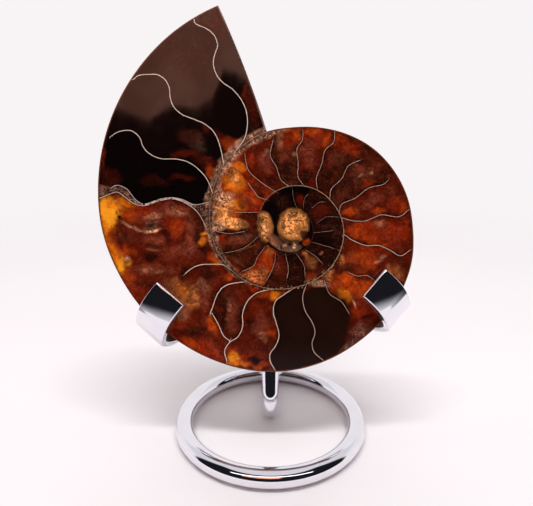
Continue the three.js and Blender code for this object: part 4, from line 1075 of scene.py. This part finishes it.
def natural_shell():
    """The natural outside: worn brown shell with growth lines, painted shade between the ribs, and pearly
    patches where it is thinner.
    """
    shell = Finish("natural_shell")
    coil = shell.parts_of("coil_spot")
    along = shell.add("CombineXYZ", {0: shell.times(coil[0], 60.0), 1: coil[1]}).outputs[0]
    growth = shell.clouds(3.0, 4, 0.6, 0.2, where=along)
    wear = shell.clouds(0.09, 5, 0.6, 0.5)
    grit = shell.clouds(1.6, 6, 0.65)
    base = shell.blend(shell.between(wear, 0.35, 0.65), colour("5e402f"), colour("8a6a52"))
    rib_turn = shell.times(coil[0], 2 * math.pi * RIBS_PER_WHORL)
    sweep = shell.math("MULTIPLY_ADD", coil[1], RIB_SWEEP, rib_turn)
    groove = shell.math("MULTIPLY_ADD", shell.math("COSINE", sweep), -0.5, 0.5)
    # Painted shade: the base colour is darkened in the grooves between the ribs
    base = shell.blend(shell.times(groove, 0.3), base, colour("2e1a12"))
    growth_line = shell.times(shell.between(growth, 0.45, 0.62), 0.3)
    base = shell.blend(growth_line, base, colour("3a2218"))
    pearl = shell.between(shell.clouds(0.14, 6, 0.7, 1.5), 0.56, 0.66)
    base = shell.blend(shell.times(pearl, 0.4), base, colour("b09078"))
    base = shell.blend(shell.times(shell.between(grit, 0.55, 0.7), 0.4), base, colour("24140e"))
    shell.set(base_color=base, roughness=shell.between(pearl, 0.0, 1.0, 0.5, 0.3), ior=1.55)
    height = shell.math("ADD", shell.times(growth, 0.6), grit)
    height = shell.math("ADD", height, shell.times(groove, -1.5))
    shell.relief(height, 0.35, 0.3)
    return shell.material


outside = np.zeros((len(places), 3))
for n, (turn, share) in back_turns.items():
    outside[n] = (turn / 360, share, 1.0)
give("coil_spot", "FLOAT_VECTOR", outside, 3)
stone_mesh.materials.append(polished_face())
stone_mesh.materials.append(natural_shell())
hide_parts("ammonite_half")
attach(fossil, "root")


# The table and its backdrop are one sheet of matt white paper, flat under the stand and curved up far
# behind the fossil. Away from the stand it glows a little, as an evenly lit sheet does.
PAPER_HALF_WIDTH = 2600.0
PAPER_FRONT = -125.0
PAPER_BEND = 900.0
BEND_RADIUS = 700.0
PAPER_TOP = 2600.0
paper_line = [(PAPER_FRONT, 0.0), (PAPER_BEND, 0.0)]
for turn in np.linspace(0.1, math.pi / 2, 14):
    paper_line.append((PAPER_BEND + BEND_RADIUS * math.sin(turn), BEND_RADIUS * (1 - math.cos(turn))))
paper_line.append((PAPER_BEND + BEND_RADIUS, PAPER_TOP))
sheet_points = [(side * PAPER_HALF_WIDTH, y, z) for y, z in paper_line for side in (-1, 1)]
sheet_faces = [(2 * k, 2 * k + 1, 2 * k + 3, 2 * k + 2) for k in range(len(paper_line) - 1)]
paper = solid("white_paper", sheet_points, sheet_faces)
paper_finish = Finish("white_paper")
paper_tone = paper_finish.blend(paper_finish.clouds(0.01, 3, 0.5), colour("f6f2f3"), colour("f1edee"))
far_off = paper_finish.add("VectorMath", {0: paper_finish.place}, operation="LENGTH").outputs["Value"]
glow = paper_finish.between(far_off, 40.0, 520.0)
paper_finish.set(base_color=paper_finish.blend(glow, paper_tone, colour("000000")), roughness=0.9)
paper_finish.set(specular_ior_level=0.0, emission_color=colour("f8f4f5"), emission_strength=glow)
paper.data.materials.append(paper_finish.material)

# The light is a white tent all round, open and dark at the front, with a soft lamp above and a long
# strip lamp over the opening. The chrome and the polished face mirror the tent and its opening.
world = bpy.data.worlds.new("white_tent")
bpy.context.scene.world = world
world.use_nodes = True
sky = world.node_tree
sky.nodes.clear()


def sky_node(kind, inputs=None, output=0, **settings):
    return add_node(sky, kind, inputs, **settings).outputs[output]


def sky_band(value, low, high):
    limits = {"Value": value, "From Min": low, "From Max": high}
    return sky_node("MapRange", limits, interpolation_type="SMOOTHSTEP")


def sky_product(*shares):
    product = shares[0]
    for share in shares[1:]:
        product = sky_node("Math", {0: product, 1: share}, operation="MULTIPLY")
    return product


def sky_blend(share, first, second):
    return sky_node("Mix", {0: share, 6: first, 7: second}, output=2, data_type="RGBA")


direction = sky_node("TexCoord", output="Generated")
x, y, z = add_node(sky, "SeparateXYZ", {0: direction}).outputs
front = sky_band(y, 0.0, -0.12)
level = sky_band(sky_node("Math", {0: x}, operation="ABSOLUTE"), 0.998, 0.975)
dark = sky_product(front, sky_band(z, 0.9, 0.84), level)
tent = sky_blend(sky_band(z, 0.3, 0.6), (0.93, 0.91, 0.94, 1), (0.76, 0.74, 0.77, 1))
opening = sky_blend(sky_band(z, 0.0, -0.28), (0.010, 0.010, 0.013, 1), (0.7, 0.69, 0.72, 1))

# A warm, faintly clouded panel, which the upper part of the face mirrors
panel = sky_product(sky_band(x, -0.46, -0.43), sky_band(x, 0.2, 0.1), sky_band(z, 0.495, 0.503),
                    sky_band(z, 0.69, 0.65), front)
drift = sky_node("TexNoise", {"Vector": direction, "Scale": 7.0, "Detail": 4.0, "Distortion": 0.8})
warm = sky_blend(sky_band(drift, 0.38, 0.64), (1.04, 0.41, 0.28, 1), (1.62, 0.73, 0.53, 1))
light_colour = sky_blend(panel, sky_blend(dark, tent, opening), warm)

# Past the paper the camera sees a plain pale tone
seen = sky_node("LightPath", output="Is Camera Ray")
light_colour = sky_blend(seen, light_colour, (0.9, 0.87, 0.88, 1))
background = sky_node("Background", {"Color": light_colour, "Strength": 1.0})
add_node(sky, "OutputWorld", {0: background})


def add_lamp(name, size, power, place, seen_in_chrome):
    """A flat lamp that faces the fossil's foot."""
    lamp = bpy.data.lights.new(name, "AREA")
    lamp.shape = "RECTANGLE"
    lamp.size, lamp.size_y = size
    lamp.energy = power
    holder = bpy.data.objects.new(name, lamp)
    holder.location = place
    holder.rotation_euler = Vector(place).to_track_quat("Z", "Y").to_euler()
    holder.visible_glossy = seen_in_chrome
    bpy.context.scene.collection.objects.link(holder)


add_lamp("top_lamp", (0.9, 0.06), 6.2, (0.0, -0.25, 1.0), False)
add_lamp("strip_lamp", (2.3, 0.17), 3.2, (0.03, -1.05, 1.13), True)

# The camera stands in front, a little above the fossil, and looks slightly down.
IMAGE_WIDTH = 533
FOCAL_PIXELS = 440.0
SENSOR_WIDTH = 36.0
CAMERA_PLACE = np.array([-1.0, -104.88, 72.57])
LOOKS_DOWN = 13.5
eye = bpy.data.cameras.new("camera")
eye.sensor_width = SENSOR_WIDTH
eye.lens = FOCAL_PIXELS * SENSOR_WIDTH / IMAGE_WIDTH
eye.clip_start = 0.005
eye.clip_end = 20.0
camera = bpy.data.objects.new("camera", eye)
camera.location = (CAMERA_PLACE + hoop_centre) * MM
camera.rotation_euler = (math.radians(90 - LOOKS_DOWN), 0, 0)
bpy.context.scene.collection.objects.link(camera)
bpy.context.scene.camera = camera
bpy.context.scene.view_settings.view_transform = "Standard"
